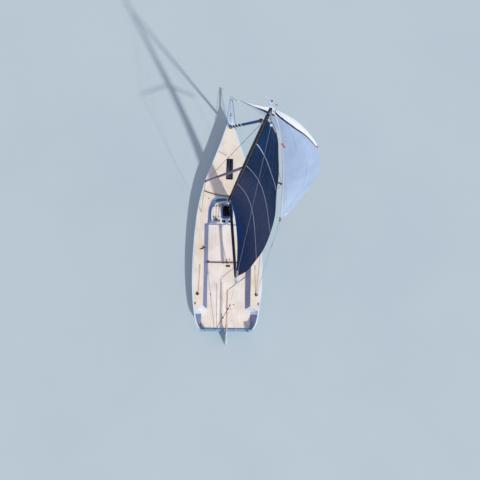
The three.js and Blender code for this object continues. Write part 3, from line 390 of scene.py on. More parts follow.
LEAD = smooth_finish(
    "faired_lead", (112, 120, 130), (84, 92, 102), (0.4, 0.6), 3.0, 0.7,
    wear=0.3, bare=(160, 164, 170))
BLACK = smooth_finish(
    "black_fitting", (30, 30, 40), (52, 50, 62), (0.35, 0.55), 12.0, 0.5,
    wear=0.5, bare=(110, 108, 118))
# The cabin's inside and the hatch opening are painted dark, a painted shade for the dim cabin
CABIN_PAINTED_SHADE = smooth_finish("cabin_painted_shade", (40, 54, 74), (22, 32, 48), (0.6, 0.8), 3.0, 0.7)
MARK_RED = smooth_finish("red_tag", (206, 60, 66), (170, 40, 52), (0.5, 0.7), 20.0, 0.5, sheen=0.3)
TAPE_WHITE = smooth_finish("sail_tape", (226, 232, 244), (190, 198, 218), (0.45, 0.6), 6.0, 0.5, sheen=0.2)
TAPE_DARK = smooth_finish("dark_sail_tape", (8, 12, 28), (22, 26, 46), (0.5, 0.7), 6.0, 0.5, gloss=0.15)
# Seam tape, also used for a painted glint on the foredeck hatch's glass
SEAM_BLUE_AND_GLINT = smooth_finish("seam_tape", (58, 72, 110), (44, 58, 94), (0.5, 0.65), 6.0, 0.5, sheen=0.2)
SEAM_GREY = smooth_finish(
    "pale_seam_tape", (150, 172, 200), (128, 150, 182), (0.5, 0.65), 6.0, 0.5, sheen=0.2)
JIB_BLUE = smooth_finish(
    "jib_cover_cloth", (10, 88, 150), (6, 62, 116), (0.6, 0.8), 6.0, 0.5,
    gloss=0.1, grain=200, depth=0.001)
JIB_DARK = smooth_finish(
    "jib_dark_cloth", (4, 18, 44), (2, 8, 24), (0.6, 0.8), 6.0, 0.5,
    gloss=0.1, grain=200, depth=0.001)
JIB_PALE = smooth_finish(
    "jib_pale_cloth", (196, 208, 222), (156, 170, 192), (0.55, 0.75), 6.0, 0.5,
    sheen=0.3, grain=200, depth=0.001)
# The gennaker's luff band: its near pure white and stronger glow are painted sunlight
KITE_PAINTED_SUNLIT = smooth_finish(
    "nylon_painted_sunlit", (252, 254, 255), (236, 246, 252), (0.4, 0.6), 2.0, 0.4,
    sheen=0.3, glow=0.22, depth=0.0008, grain=40)
# A dark band by the gennaker's seam near the tack: partly dark tape, partly painted shadow under the curled
# luff
KITE_DARK_AND_SHADOW = smooth_finish(
    "dark_nylon_and_painted_shadow", (10, 14, 30), (20, 24, 44), (0.5, 0.7), 2.0, 0.5,
    gloss=0.15, depth=0.0008, grain=40)
FLOOR_PALE = smooth_finish("pale_floor", (188, 202, 206), (182, 197, 202), (0.8, 0.9), 0.2, 0.5)
DECK_CREAM = planked_finish(
    "cream_decking", (248, 235, 219), (231, 212, 190), (158, 130, 112),
    0.085, 0.05, 0.24, 0.32)
SOLE_CREAM = planked_finish(
    "cream_sole", (252, 243, 231), (235, 219, 202), (168, 146, 128), 0.12, 0.04, 0.18, 0.2)
ROPE_AQUA = rope_finish("aqua_rope", (170, 212, 208), (96, 156, 158))
ROPE_WHITE = rope_finish("white_rope", (232, 226, 214), (150, 140, 130))
ROPE_BROWN = rope_finish("brown_rope", (140, 112, 98), (84, 66, 60))
ROPE_RED = rope_finish("red_rope", (186, 74, 60), (224, 190, 170))
ROPE_BLACK = rope_finish("black_rope", (46, 42, 50), (110, 100, 104))
ROPE_PINK = rope_finish("pink_rope", (226, 160, 160), (200, 110, 116))
ROPE_GREY = rope_finish("grey_rope", (128, 138, 166), (84, 92, 122))
ROPE_BLUE = rope_finish("pale_blue_rope", (84, 156, 204), (50, 104, 160))
VARNISHED_WOOD = wood_finish()
MAIN_CLOTH = mainsail_finish()
KITE_CLOTH = gennaker_finish()

# Shapes: each gives points, faces and, where it has one, a map for every face

SIDES = (("port", -1), ("starboard", 1))
CREASE = math.radians(38)


def at(x, y, z):
    return Vector((x, y, z))


def through(table, key, column):
    """A value at key on a smooth line through a table's rows, whose first column rises."""
    last = len(table) - 1
    row = 0
    while row < last - 1 and key > table[row + 1][0]:
        row += 1
    start, end = table[row], table[row + 1]
    reach = end[0] - start[0]
    share = min(1, max(0, (key - start[0]) / reach))

    def slope(index):
        low, high = table[max(0, index - 1)], table[min(last, index + 1)]
        return (high[column] - low[column]) / (high[0] - low[0]) * reach
    a, b = start[column], end[column]
    m, n = slope(row), slope(row + 1)
    s2, s3 = share * share, share ** 3
    return a * (2 * s3 - 3 * s2 + 1) + m * (s3 - 2 * s2 + share) + b * (3 * s2 - 2 * s3) + n * (s3 - s2)


def straight(table, key):
    """The second column's value at key, on straight lines between a table's rows."""
    for start, end in zip(table, table[1:]):
        if key <= end[0]:
            break
    share = min(1, max(0, (key - start[0]) / (end[0] - start[0])))
    return start[1] + (end[1] - start[1]) * share


def spread(low, high, steps):
    return [low + (high - low) * i / steps for i in range(steps + 1)]


def eased(corners, reaches, steps):
    """A line through corners, each turned into a small curve that starts its reach away."""
    points = [corners[0]]
    for before, corner, after, reach in zip(corners, corners[1:], corners[2:], reaches):
        into, out = before - corner, after - corner
        start = corner + into * min(0.45, reach / max(into.length, 1e-6))
        end = corner + out * min(0.45, reach / max(out.length, 1e-6))
        points += [start * (1 - t) ** 2 + corner * 2 * t * (1 - t) + end * t * t for t in spread(0, 1, steps)]
    return points + [corners[-1]]


def circle(sides):
    """The cosine and sine of each step round a circle."""
    turns = [2 * math.pi * k / sides for k in range(sides)]
    return [(math.cos(a), math.sin(a)) for a in turns]


def square_to(way):
    """Two directions square to a way and to each other."""
    side = way.orthogonal().normalized()
    return side, way.cross(side)


def oval(middle, side, other, sides):
    """Points round a middle, as far from it as side and other reach."""
    return [middle + side * c + other * s for c, s in circle(sides)]


def ring(middle, side, other, radius, sides):
    return oval(middle, side * radius, other * radius, sides)


def directions(path):
    """The way that a path runs at each of its points."""
    last = len(path) - 1
    return [(path[min(i + 1, last)] - path[max(i - 1, 0)]).normalized() for i in range(last + 1)]


def skin(rows, around=False, ends=False, maps=None):
    """A surface over rows of points. around closes each row, and ends caps the first and last."""
    count = len(rows[0])
    points = [p for row in rows for p in row]
    faces, corners = [], []
    for i in range(len(rows) - 1):
        for j in range(count if around else count - 1):
            k = (j + 1) % count
            faces.append((i * count + j, i * count + k, (i + 1) * count + k, (i + 1) * count + j))
            if maps:
                corners.append((maps(i, j), maps(i, j + 1), maps(i + 1, j + 1), maps(i + 1, j)))
    if ends:
        faces.append(tuple(reversed(range(count))))
        faces.append(tuple(range((len(rows) - 1) * count, len(rows) * count)))
        if maps:
            corners += [(maps(0, 0),) * count] * 2
    return points, faces, corners


def solid(rows, maps=None):
    return skin(rows, around=True, ends=True, maps=maps)


def tube(path, radius, sides=8):
    """A round bar along a path. radius is a number, or a list of one for each point of the path."""
    path = [Vector(p) for p in path]
    radii = radius if isinstance(radius, list) else [radius] * len(path)
    runs = [sum((b - a).length for a, b in zip(path[:i], path[1:i + 1])) for i in range(len(path))]
    rows = []
    for point, way, size in zip(path, directions(path), radii):
        side = square_to(way)[0] if not rows else side
        side = (side - way * side.dot(way)).normalized()
        rows.append(ring(point, side, way.cross(side), size, sides))
    return solid(rows, lambda i, j: (j / sides, runs[i]))


def smooth_path(points, steps=6):
    """A smooth line through a few points."""
    points = [Vector(p) for p in points]
    full = [points[0] * 2 - points[1]] + points + [points[-1] * 2 - points[-2]]
    path = []
    for a, b, c, d in zip(full, full[1:], full[2:], full[3:]):
        for t in spread(0, 1, steps)[:-1]:
            path.append(((b * 2) + (c - a) * t + (a * 2 - b * 5 + c * 4 - d) * t * t
                         + (b * 3 - a - c * 3 + d) * t ** 3) / 2)
    return path + [points[-1]]


def turned(profile, base=(0, 0, 0), way=(0, 0, 1), sides=24):
    """A shape turned about a line: profile holds pairs of radius and height along it."""
    way = Vector(way).normalized()
    side, other = square_to(way)
    base = Vector(base)
    rows = [ring(base + way * height, side, other, max(radius, 1e-5), sides) for radius, height in profile]
    return solid(rows, lambda i, j: (j / sides, profile[i][1]))


def both_ends(half):
    """A profile that is alike at both ends: pairs of radius and height from one end in to the middle."""
    return [(r, -h) for r, h in half] + [(r, h) for r, h in reversed(half) if h]


def both_sides(half):
    """A section that is alike on both sides: pairs of x and height from one side's edge to the middle."""
    return [(-x, z) for x, z in half] + list(reversed(half))


def round_places(middle, radius, count, start=0.0):
    """Places spaced evenly round an upright line."""
    turns = [2 * math.pi * k / count + start for k in range(count)]
    return [Vector(middle) + at(radius * math.cos(a), radius * math.sin(a), 0) for a in turns]


def bolt(place, radii, heights, way=(0, 0, 1), sides=6):
    """A bolt's head: its radius below and on top, and the height of its side and of its top."""
    return turned([(radii[0], 0), (radii[0], heights[0]), (radii[1], heights[1])], place, way, sides)


def plate(outline, low, high, ease=0.0, steps=2):
    """An outline of x and y pairs, raised from low to high, with eased edges."""
    mesh = bmesh.new()
    face = mesh.faces.new([mesh.verts.new((x, y, low)) for x, y in outline])
    for item in bmesh.ops.extrude_face_region(mesh, geom=[face])["geom"]:
        if isinstance(item, bmesh.types.BMVert):
            item.co.z = high
    bmesh.ops.recalc_face_normals(mesh, faces=mesh.faces)
    if ease:
        bmesh.ops.bevel(mesh, geom=list(mesh.edges), offset=ease, segments=steps, affect="EDGES",
                        profile=0.5, clamp_overlap=True)
    mesh.verts.index_update()
    points = [v.co.copy() for v in mesh.verts]
    faces = [tuple(v.index for v in f.verts) for f in mesh.faces]
    mesh.free()
    return points, faces, []


def block(low, high, ease=0.004, steps=2):
    """A box between two corners, with eased edges."""
    outline = [(low[0], low[1]), (high[0], low[1]), (high[0], high[1]), (low[0], high[1])]
    return plate(outline, low[2], high[2], ease, steps)


def box(place, half, ease=0.004, steps=2):
    """A box round a place, that reaches half its size to each side."""
    place, half = Vector(place), Vector(half)
    return block(place - half, place + half, ease, steps)


def moved(shape, shift=(0, 0, 0), turn=0.0):
    """A shape turned about the upright by degrees, and then shifted."""
    points, faces, maps = shape
    matrix = Matrix.Translation(shift) @ Matrix.Rotation(math.radians(turn), 4, "Z")
    return [matrix @ Vector(p) for p in points], faces, maps


def rounded_outline(width, length, corner, middle=(0, 0), steps=5):
    """A rectangle with round corners, as x and y pairs."""
    points = []
    for cx, cy, start in ((1, 1, 0), (-1, 1, 90), (-1, -1, 180), (1, -1, 270)):
        for a in [math.radians(start + turn) for turn in spread(0, 90, steps)]:
            points.append((middle[0] + cx * (width / 2 - corner) + corner * math.cos(a),
                           middle[1] + cy * (length / 2 - corner) + corner * math.sin(a)))
    return points


def slab(rows, thickness, maps):
    """A sheet of even thickness under rows of top points."""
    top, faces, corners = skin(rows, maps=maps)
    count, width, last = len(top), len(rows[0]), len(rows) - 1
    points = top + [p - at(0, 0, thickness) for p in top]
    faces += [tuple(count + k for k in reversed(face)) for face in faces]
    corners += [tuple(reversed(c)) for c in corners]
    edge = list(range(width)) + [i * width + width - 1 for i in range(1, last + 1)]
    edge += [last * width + j for j in range(width - 2, -1, -1)] + [i * width for i in range(last - 1, 0, -1)]
    for a, b in zip(edge, edge[1:] + edge[:1]):
        faces.append((b, a, count + a, count + b))
        corners.append(tuple(maps(k // width, k % width) for k in (b, a, a, b)))
    return points, faces, corners


def dress(name, shapes, nodes=None, body="boat"):
    """Makes one piece of the boat from pairs of a shape and its finish, and lets it ride on its body. It
    stands for the node of its own name, or for the nodes given. A finish is a material, or a function that
    gives one for a face's number."""
    nodes = [name] if nodes is None else nodes
    points, faces, corners, finishes, finish_of = [], [], [], [], []
    for (places, shape_faces, maps), finish in shapes:
        start = len(points)
        points += [Vector(p) for p in places]
        for i, face in enumerate(shape_faces):
            faces.append([start + k for k in face])
            corners += maps[i] if maps else [(0, 0)] * len(face)
            chosen = finish(i) if callable(finish) else finish
            if chosen not in finishes:
                finishes.append(chosen)
            finish_of.append(finishes.index(chosen))
    mesh = bpy.data.meshes.new(name)
    mesh.from_pydata(points, [], faces)
    for material in finishes:
        mesh.materials.append(material)
    mesh.polygons.foreach_set("material_index", finish_of)
    for item, corner in zip(mesh.uv_layers.new(name="run").data, corners):
        item.uv = corner
    facing_out = bmesh.new()
    facing_out.from_mesh(mesh)
    bmesh.ops.recalc_face_normals(facing_out, faces=facing_out.faces)
    facing_out.to_mesh(mesh)
    facing_out.free()
    mesh.shade_smooth()
    mesh.set_sharp_from_angle(angle=CREASE)
    piece = add_to_scene(name + "_dressed" if name in nodes else name, mesh)
    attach(piece, body)
    if nodes:
        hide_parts(*nodes)
    return piece


# Hull. Columns: y, half beam at the deck, depth below the water, fullness of the bilge
STATIONS = [
    (-4.250, 0.950, -0.020, 2.90), (-4.080, 1.105, 0.015, 2.80), (-3.850, 1.205, 0.050, 2.70),
    (-3.370, 1.290, 0.110, 2.60), (-2.700, 1.355, 0.185, 2.50), (-1.900, 1.378, 0.250, 2.50),
    (-1.100, 1.362, 0.290, 2.40), (-0.300, 1.312, 0.310, 2.30), (0.500, 1.222, 0.300, 2.20),
    (1.100, 1.105, 0.275, 2.10), (1.700, 0.935, 0.240, 2.00), (2.640, 0.580, 0.165, 1.80),
    (3.300, 0.345, 0.110, 1.65), (3.850, 0.165, 0.060, 1.50), (4.250, 0.028, 0.020, 1.40),
]
STERN_Y, BOW_Y = -4.25, 4.25
RIM = 0.065
SOLE_Z, SOLE_HALF = 0.4, 0.765
COCKPIT_AFT = -4.15
CABIN_HALF, CABIN_FLOOR = 0.6, -0.05
# The side decks' slanted ends lie in a plane through x and y on the sole, which leans forward
# going up and runs aft going out
FACET = {"x": 0.8, "y": -3.4, "rise": 0.4, "sweep": 0.46}
FACET_LEAN = FACET["rise"] / FACET["sweep"]
WELL = {"rim": 0.06, "half": 0.97}
BULKHEAD_Y = -0.05
SILL = {"z": 0.47, "half": 0.8, "flare": 0.161}
SIDE_STEPS, SIDE_FULLNESS = 22, 2.4
EASE_STEPS = 4
UNDERSIDE_TOP = 0.03
DECK_LOW, DECK_RISE = 0.84, 0.21

# Floor of the open parts. Columns: y, share of the way down from the deck, height of the bottom
FLOORS = [
    (-4.250, 1, SILL["z"]), (-4.165, 1, SILL["z"]), (-4.154, 1, 0.468), (-4.150, 1, 0.462),
    (-4.1495, 1, 0.408), (-4.146, 1, 0.402), (-4.135, 1, SOLE_Z), (-0.085, 1, SOLE_Z), (-0.066, 0.98, SOLE_Z),
    (-0.061, 0.94, SOLE_Z), (-0.060, 0.04, SOLE_Z), (-0.056, 0.01, SOLE_Z), (-0.045, 0, SOLE_Z),
    (0.010, 0, CABIN_FLOOR), (0.0195, 0, CABIN_FLOOR), (0.020, 1, CABIN_FLOOR), (0.7195, 1, CABIN_FLOOR),
    (0.720, 0, CABIN_FLOOR), (4.250, 0, CABIN_FLOOR),
]
# How far the hull's two ends draw in: y, share of the beam, inset
PINCH = {-4.25: (0.988, 0.012), -4.247: (0.995, 0.005), -4.24: (1, 0.001), 4.215: (0.97, 0.002),
         4.238: (0.8, 0.008), 4.25: (0.42, 0.02)}
# Where more sections are drawn: y from and to, and steps
HULL_SPANS = [(-4.24, -4.165, 3), (-4.135, -3.5, 8), (-3.5, -3.22, 30), (-3.22, -0.085, 34),
              (0.02, 0.7195, 8), (0.72, 4.215, 44)]


def deck_z(y):
    t = (y - STERN_Y) / (BOW_Y - STERN_Y)
    return DECK_LOW + DECK_RISE * (0.15 * t + 0.85 * t * t)


def half_beam(y):
    return through(STATIONS, y, 1)


WALL_FLARE = (0.905 - SOLE_HALF) / (deck_z(-2.0) - SOLE_Z)


def cockpit_side(z):
    return SOLE_HALF + (z - SOLE_Z) * WALL_FLARE


def facet_foot(y):
    """How far out a slanted end meets the sole's level at y."""
    return FACET["x"] + (FACET["y"] - y) / FACET["sweep"]


def facet_y(x, z):
    return FACET["y"] + FACET["rise"] * (z - SOLE_Z) - FACET["sweep"] * (abs(x) - FACET["x"])


def stern_corners(y, half, top):
    """The open stern's inner corners at y, from the deck in to the sole."""
    rim = half - WELL["rim"]
    well = min(WELL["half"], rim - 0.07)
    foot = facet_foot(y)
    edge = min(rim, foot + (top - SOLE_Z) * FACET_LEAN)
    on_rim = SOLE_Z + (rim - foot) / FACET_LEAN
    under = min(top, max(top - WELL["rim"], on_rim)) if edge == rim else top
    if foot < SOLE_HALF:
        rise = (SOLE_HALF - foot) / (FACET_LEAN - WALL_FLARE)
        low = (SOLE_HALF + WALL_FLARE * rise, SOLE_Z + rise)
    else:
        low = (min(foot, well), SOLE_Z)
    slope = (rim - well) / (top - WELL["rim"] - SOLE_Z)
    meeting = (well - foot) / (FACET_LEAN - slope)
    if meeting <= 0:
        turn = (well + 0.002, SOLE_Z + 0.003)
    elif edge == rim and SOLE_Z + meeting < under:
        turn = (foot + FACET_LEAN * meeting, SOLE_Z + meeting)
    else:
        turn = (edge + (low[0] - edge) * 0.1, under + (low[1] - under) * 0.1)
    inner = (min(SOLE_HALF, low[0] - 0.004), SOLE_Z)
    return [(edge, top), (edge - 0.001, under), turn, low, inner, (0, SOLE_Z)]


def inner_corners(y, half, top):
    """Corners of the hull's upper side at y, from the deck's edge in to the middle."""
    bottom = straight([(row[0], row[2]) for row in FLOORS], y)
    floor = top + (bottom - top) * straight(FLOORS, y)
    if y < COCKPIT_AFT + 0.0002:
        edge, sill = SILL["half"] + (top - floor) * SILL["flare"], SILL["half"]
        return [(edge, top), (edge - 0.002, top - 0.01), (edge - 0.004, top - 0.02), (sill, floor),
                (sill - 0.02, floor), (0, floor)]
    if y < FACET["y"] + 0.2 and facet_foot(y) + (top - SOLE_Z) * FACET_LEAN > cockpit_side(top):
        return stern_corners(y, half, top)
    if y < BULKHEAD_Y:
        wall, foot = cockpit_side(top), cockpit_side(floor)
    else:
        wall = min(CABIN_HALF, half * 0.7)
        foot = wall * 0.992
    rim = max(half - WELL["rim"], half * 0.8)
    level = [(x, top) for x in (rim, rim - half * 0.005, rim - half * 0.01, wall)]
    return level + [(foot, floor), (0, floor)]


def hull_section(y):
    """Half of the hull at y: from the keel line out to the rim, and in over the deck and well."""
    narrow, inset = PINCH.get(y, (1, 0))
    half = half_beam(y) * narrow
    depth = through(STATIONS, y, 2) - inset
    fullness = through(STATIONS, y, 3)
    top = deck_z(y) - inset
    side = []
    for i in range(SIDE_STEPS):
        a = math.pi / 2 * (i / SIDE_STEPS) ** 0.9
        x = half * math.sin(a) ** (2 / fullness)
        side.append(at(x, y, top - (top + depth) * math.cos(a) ** (2 / SIDE_FULLNESS)))
    corners = side[-1:] + [at(x, y, z) for x, z in [(half, top)] + inner_corners(y, half, top)]
    return side[:-1] + eased(corners, [0.02, 0.006, 0.012, 0.02, 0.02, 0.03], EASE_STEPS)


def hull_finish(places, halves, number):
    """The finish of one face of the hull, by its place along and across."""
    columns = 2 * len(halves[0]) - 2
    # The hull's two end faces take the rim's painted sky-blue shade
    if number >= (len(places) - 1) * columns:
        return RIM_PAINTED_SKY_SHADE
    i, j = divmod(number, columns)
    j = min(j, columns - 1 - j)
    y = (places[i] + places[i + 1]) / 2
    z = halves[i][min(j, len(halves[0]) - 1)].z
    corner = (j - SIDE_STEPS) / (EASE_STEPS + 1)
    if corner < 1:
        # Aft, the topsides take the rim's painted sky-blue shade
        topside = RIM_PAINTED_SKY_SHADE if y < -4.1 else GELCOAT
        return topside if z > UNDERSIDE_TOP else KEEL_PAINT
    if y > BULKHEAD_Y:
        # Inside the cabin: painted shade
        return CABIN_PAINTED_SHADE if y < 0.73 and z < deck_z(y) - 0.02 else GELCOAT
    # Aft of y -3.2 the stern's rims take the painted sky-blue shade
    if y < COCKPIT_AFT or corner < 2:
        return RIM_PAINTED_SKY_SHADE if y < -3.2 else GELCOAT
    # The step face over the sill: a painted shade line in the blue grey
    if y < COCKPIT_AFT + 0.02:
        return BLUE_GELCOAT_AND_SHADE
    slanted = corner < 4.8 and -3.58 < y < -3.25
    on_sole = corner >= 3.8 and z < SOLE_Z + 0.01
    return GELCOAT if slanted or on_sole else BLUE_GELCOAT_AND_SHADE


def make_hull():
    places = [row[0] for row in FLOORS] + list(PINCH)
    for low, high, steps in HULL_SPANS:
        places += spread(low, high, steps)[1:-1]
    places = sorted(set(places))
    halves = [hull_section(y) for y in places]
    rows = [half + [at(-p.x, p.y, p.z) for p in reversed(half[1:-1])] for half in halves]
    nodes = ["aft_hull", "fore_hull", "port_topside", "starboard_topside", "transom", "cabin_bulkhead"]
    dress("hull", [(solid(rows), lambda number: hull_finish(places, halves, number))], nodes)


make_hull()

# Cream deck panels and sole
PANEL = 0.006
PANEL_DEPTH = PANEL - 0.0005
# How far out the side decking starts beside the coachroof: y and x
ROOF_SIDE = [(-0.06, 0.845), (0.45, 0.833), (0.66, 0.790), (0.83, 0.715), (0.925, 0.600), (0.975, 0.430),
             (1.004, 0.25)]
# The sole panel's outline: y and half width
SOLE_PANEL = [(-4.135, 0.87), (-4.06, 0.94), (-3.492, 0.94), (-3.40, 0.75), (-0.075, 0.75)]


def deck_edge(y):
    return half_beam(y) - RIM


def flat_map(rows):
    return lambda i, j: (rows[i][j].x, rows[i][j].y)


def deck_strip(places, inner, outer, columns, slant=None):
    """A panel on the deck between two lines, mapped so that its strips follow the hull's edge. slant gives
    the y of the aft end for each x."""
    rows = []
    for y in places:
        share = (y - places[0]) / (places[-1] - places[0])
        row = []
        for j in range(columns + 1):
            place = y
            for _ in range(3 if slant else 1):
                x = inner(place) + (outer(place) - inner(place)) * j / columns
                if slant:
                    place = slant(x) + (places[-1] - slant(x)) * share
            row.append(at(x, place, deck_z(place) + PANEL))
        rows.append(row)

    def maps(i, j):
        p = rows[i][j]
        return (p.x * (0.35 + 0.65 * 1.31 / max(0.3, half_beam(p.y))), p.y)
    return slab(rows, PANEL_DEPTH, maps), DECK_CREAM


def make_deck_panels():
    foredeck = deck_strip(spread(1.008, 3.82, 40), lambda y: -deck_edge(y), deck_edge, 14)
    dress("foredeck_decking", [foredeck], ["foredeck_panel"])
    for name, side in SIDES:
        def edge(y):
            return side * deck_edge(y)

        def coaming(y):
            return side * (cockpit_side(deck_z(y)) + 0.016)
        aft = deck_strip(spread(-3.3, -0.062, 30), coaming, edge, 5, lambda x: facet_y(x, 0.88) + 0.02)
        beside_roof = deck_strip(spread(-0.060, 0.66, 8) + spread(0.66, 1.004, 16)[1:],
                                 lambda y: side * straight(ROOF_SIDE, y), edge, 8)
        dress(name + "_side_decking", [aft, beside_roof], [name + "_side_deck_panel"])
    rows = []
    for y in sorted(set([row[0] for row in SOLE_PANEL] + spread(-4.05, -0.075, 40))):
        half = straight(SOLE_PANEL, y)
        rows.append([at(half * (j / 6 - 1), y, SOLE_Z + PANEL) for j in range(13)])
    sole = slab(rows, PANEL_DEPTH, flat_map(rows))
    dress("cockpit_sole_decking", [(sole, SOLE_CREAM)], ["cockpit_sole_panel", "aft_sole_panel"])


make_deck_panels()

# Coachroof. Outlines of the starboard half, from the aft end round to the middle
ROOF_AFT = -0.06
ROOF_BASE = [(0.820, -0.060), (0.808, 0.450), (0.765, 0.660), (0.690, 0.830), (0.560, 0.925), (0.380, 0.970),
             (0, 0.985)]
ROOF_TOP = [(0.705, -0.060), (0.692, 0.420), (0.655, 0.600), (0.590, 0.735), (0.480, 0.815), (0.330, 0.855),
            (0, 0.880)]
# The moulding's side: share of the way from the base in to the top, share of the height
ROOF_SHOULDER = [(-0.03, -0.3), (0.0, 0.01), (0.05, 0.05), (0.10, 0.115), (0.12, 0.125), (0.84, 0.815),
                 (0.86, 0.84), (0.93, 0.93), (0.975, 0.985)]
# The window band, from its lower edge to its upper one: share of its width, how far it stands proud
WINDOW_BAND = [(0.0, 0.001), (0.03, 0.007), (0.25, 0.011), (0.5, 0.012), (0.75, 0.011), (0.9, 0.008),
               (0.96, 0.006), (1.0, 0.0005)]
WINDOW_AFT = 0.08
ROOF_Z = 1.13
AFT_STEPS = 14
HATCH = {"x": -0.075, "y": 0.405, "width": 0.30, "length": 0.37, "border": 0.085, "rise": 0.03}
WINCH_PLATE = {"inner": 0.34, "outer": 0.645, "aft": -0.03, "front": 0.085}


def roof_line(table):
    """The roof's whole outline, from the starboard aft corner round the front and back along the aft end."""
    path = smooth_path([(x, y, 0) for x, y in table], 7)
    path[0].y = ROOF_AFT
    path += [at(-p.x, p.y, 0) for p in reversed(path[:-1])]
    return path + [path[-1].lerp(path[0], i / AFT_STEPS) for i in range(1, AFT_STEPS)]


def roof_side(a, b, share, rise):
    """A point of the roof's side between the base and the top, at a share of its height."""
    p, floor = a.lerp(b, share), deck_z(a.y)
    return at(p.x, p.y, floor + (ROOF_Z - floor) * rise)


def on_roof(p, lift=0.0):
    """The place over p on the roof's top, which has a slight crown."""
    return at(p.x, p.y, ROOF_Z + 0.004 * max(0, 1 - (p.x / 0.7) ** 2) + lift)


def to_hatch(p, margin=0.0):
    """Where the line from p to the hatch's middle meets the hatch's outline."""
    h = HATCH
    x, y = p.x - h["x"], p.y - h["y"]
    across, along = max(abs(x), 1e-6), max(abs(y), 1e-6)
    reach = min((h["width"] / 2 + margin) / across, (h["length"] / 2 + margin) / along)
    return at(h["x"] + x * reach, h["y"] + y * reach, 0)


def front_share(y):
    """How far round to the roof's front a place is, from 0 along the sides to 1."""
    return min(1, max(0, (y - 0.42) / 0.4))


def make_coachroof():
    base, top = roof_line(ROOF_BASE), roof_line(ROOF_TOP)
    count = len(base)
    hole = [to_hatch(p) for p in top]
    rows = [[roof_side(a, b, share, rise) for a, b in zip(base, top)] for share, rise in ROOF_SHOULDER]
    for share in (0.02, 0.06, 0.35, 0.7, 0.93, 1.0):
        rows.append([on_roof(p.lerp(q, share)) for p, q in zip(top, hole)])
    rows.append([at(q.x, q.y, ROOF_Z - 0.04) for q in hole])
    middle = at(HATCH["x"], HATCH["y"], 0)
    rows.append([q + (q - middle) * 0.7 + at(0, 0, ROOF_Z - 0.0405) for q in hole])

    def finish(number):
        i, j = divmod(number, count)
        # The skirt down into the hatch opening: painted shade of the cabin
        if i >= len(ROOF_SHOULDER) + 5:
            return CABIN_PAINTED_SHADE
        start, end = rows[i][j], rows[i][(j + 1) % count]
        corner = abs(start.x) > 0.5 and (start.y + end.y) / 2 < WINCH_PLATE["front"]
        return BLUE_GELCOAT_AND_SHADE if corner else GELCOAT
    dress("coachroof_moulding", [(skin(rows, around=True), finish)], ["coachroof"])

    # The window band, let into the sloping side from the aft corner round the front and over the shoulder
    bands = []
    for reach, proud in WINDOW_BAND:
        row = []
        for a, b in zip(base, top):
            if a.y < WINDOW_AFT - 1e-6:
                continue
            low, high = 0.09 + 0.3 * front_share(b.y), 1.1 + 0.5 * front_share(b.y)
            share = low + (high - low) * reach
            p = roof_side(a, b, share, min(share * 0.98, 1))
            out = at(0, 0, 1) if share > 1 else at(p.x, max(0, p.y - 0.3), 0.3).normalized()
            row.append(p + out * proud)
        bands.append(row)
    dress("cabin_window_band", [(skin(bands), WINDOW_BLUE)],
          ["port_cabin_window", "starboard_cabin_window"])

    # The cream top, inside the roof's white edge
    outer = [p.lerp(q, 0.09 + 0.24 * front_share(p.y)) for p, q in zip(top, hole)]
    inner = [to_hatch(p, 0.08) for p in top]
    rows = []
    for share in (0, 0.3, 0.6, 1.0):
        row = [on_roof(p.lerp(q, share), PANEL) for p, q in zip(outer, inner)]
        rows.append(row + row[:1])
    decking = slab(rows, PANEL_DEPTH, flat_map(rows))
    dress("coachroof_decking", [(decking, SOLE_CREAM)], ["coachroof_panel"])

    # A blue moulded plate under each winch
    w = WINCH_PLATE
    plates = []
    for _, side in SIDES:
        outline = [(side * x, y) for x, y in ((w["inner"], w["aft"]), (w["outer"], w["aft"]),
                                              (w["outer"] - 0.02, w["front"]), (w["inner"], w["front"]))]
        plates.append((plate(outline[::side], ROOF_Z - 0.004, ROOF_Z + PANEL + 0.004, 0.003), BLUE_GELCOAT_AND_SHADE))
    dress("winch_plates", plates, [])


make_coachroof()

FOREDECK_HATCH = {"half": 0.128, "aft": 1.70, "front": 2.52}
WASHBOARD = {"half": 0.225, "low": 0.56, "high": 1.04}


def ring_plate(outer, inner, low, high, ease):
    """A flat frame between two outlines with as many points each."""
    def level(share, z):
        return [at(x + (u - x) * share, y + (v - y) * share, z) for (x, y), (u, v) in zip(outer, inner)]
    rows = [level(share, z) for share, z in ((0, low), (0, high - ease), (0.12, high), (0.88, high),
                                             (1, high - ease), (1, low), (0, low))]
    return skin(rows, around=True)


def rectangle(left, right, aft, front):
    return [(left, aft), (right, aft), (right, front), (left, front)]


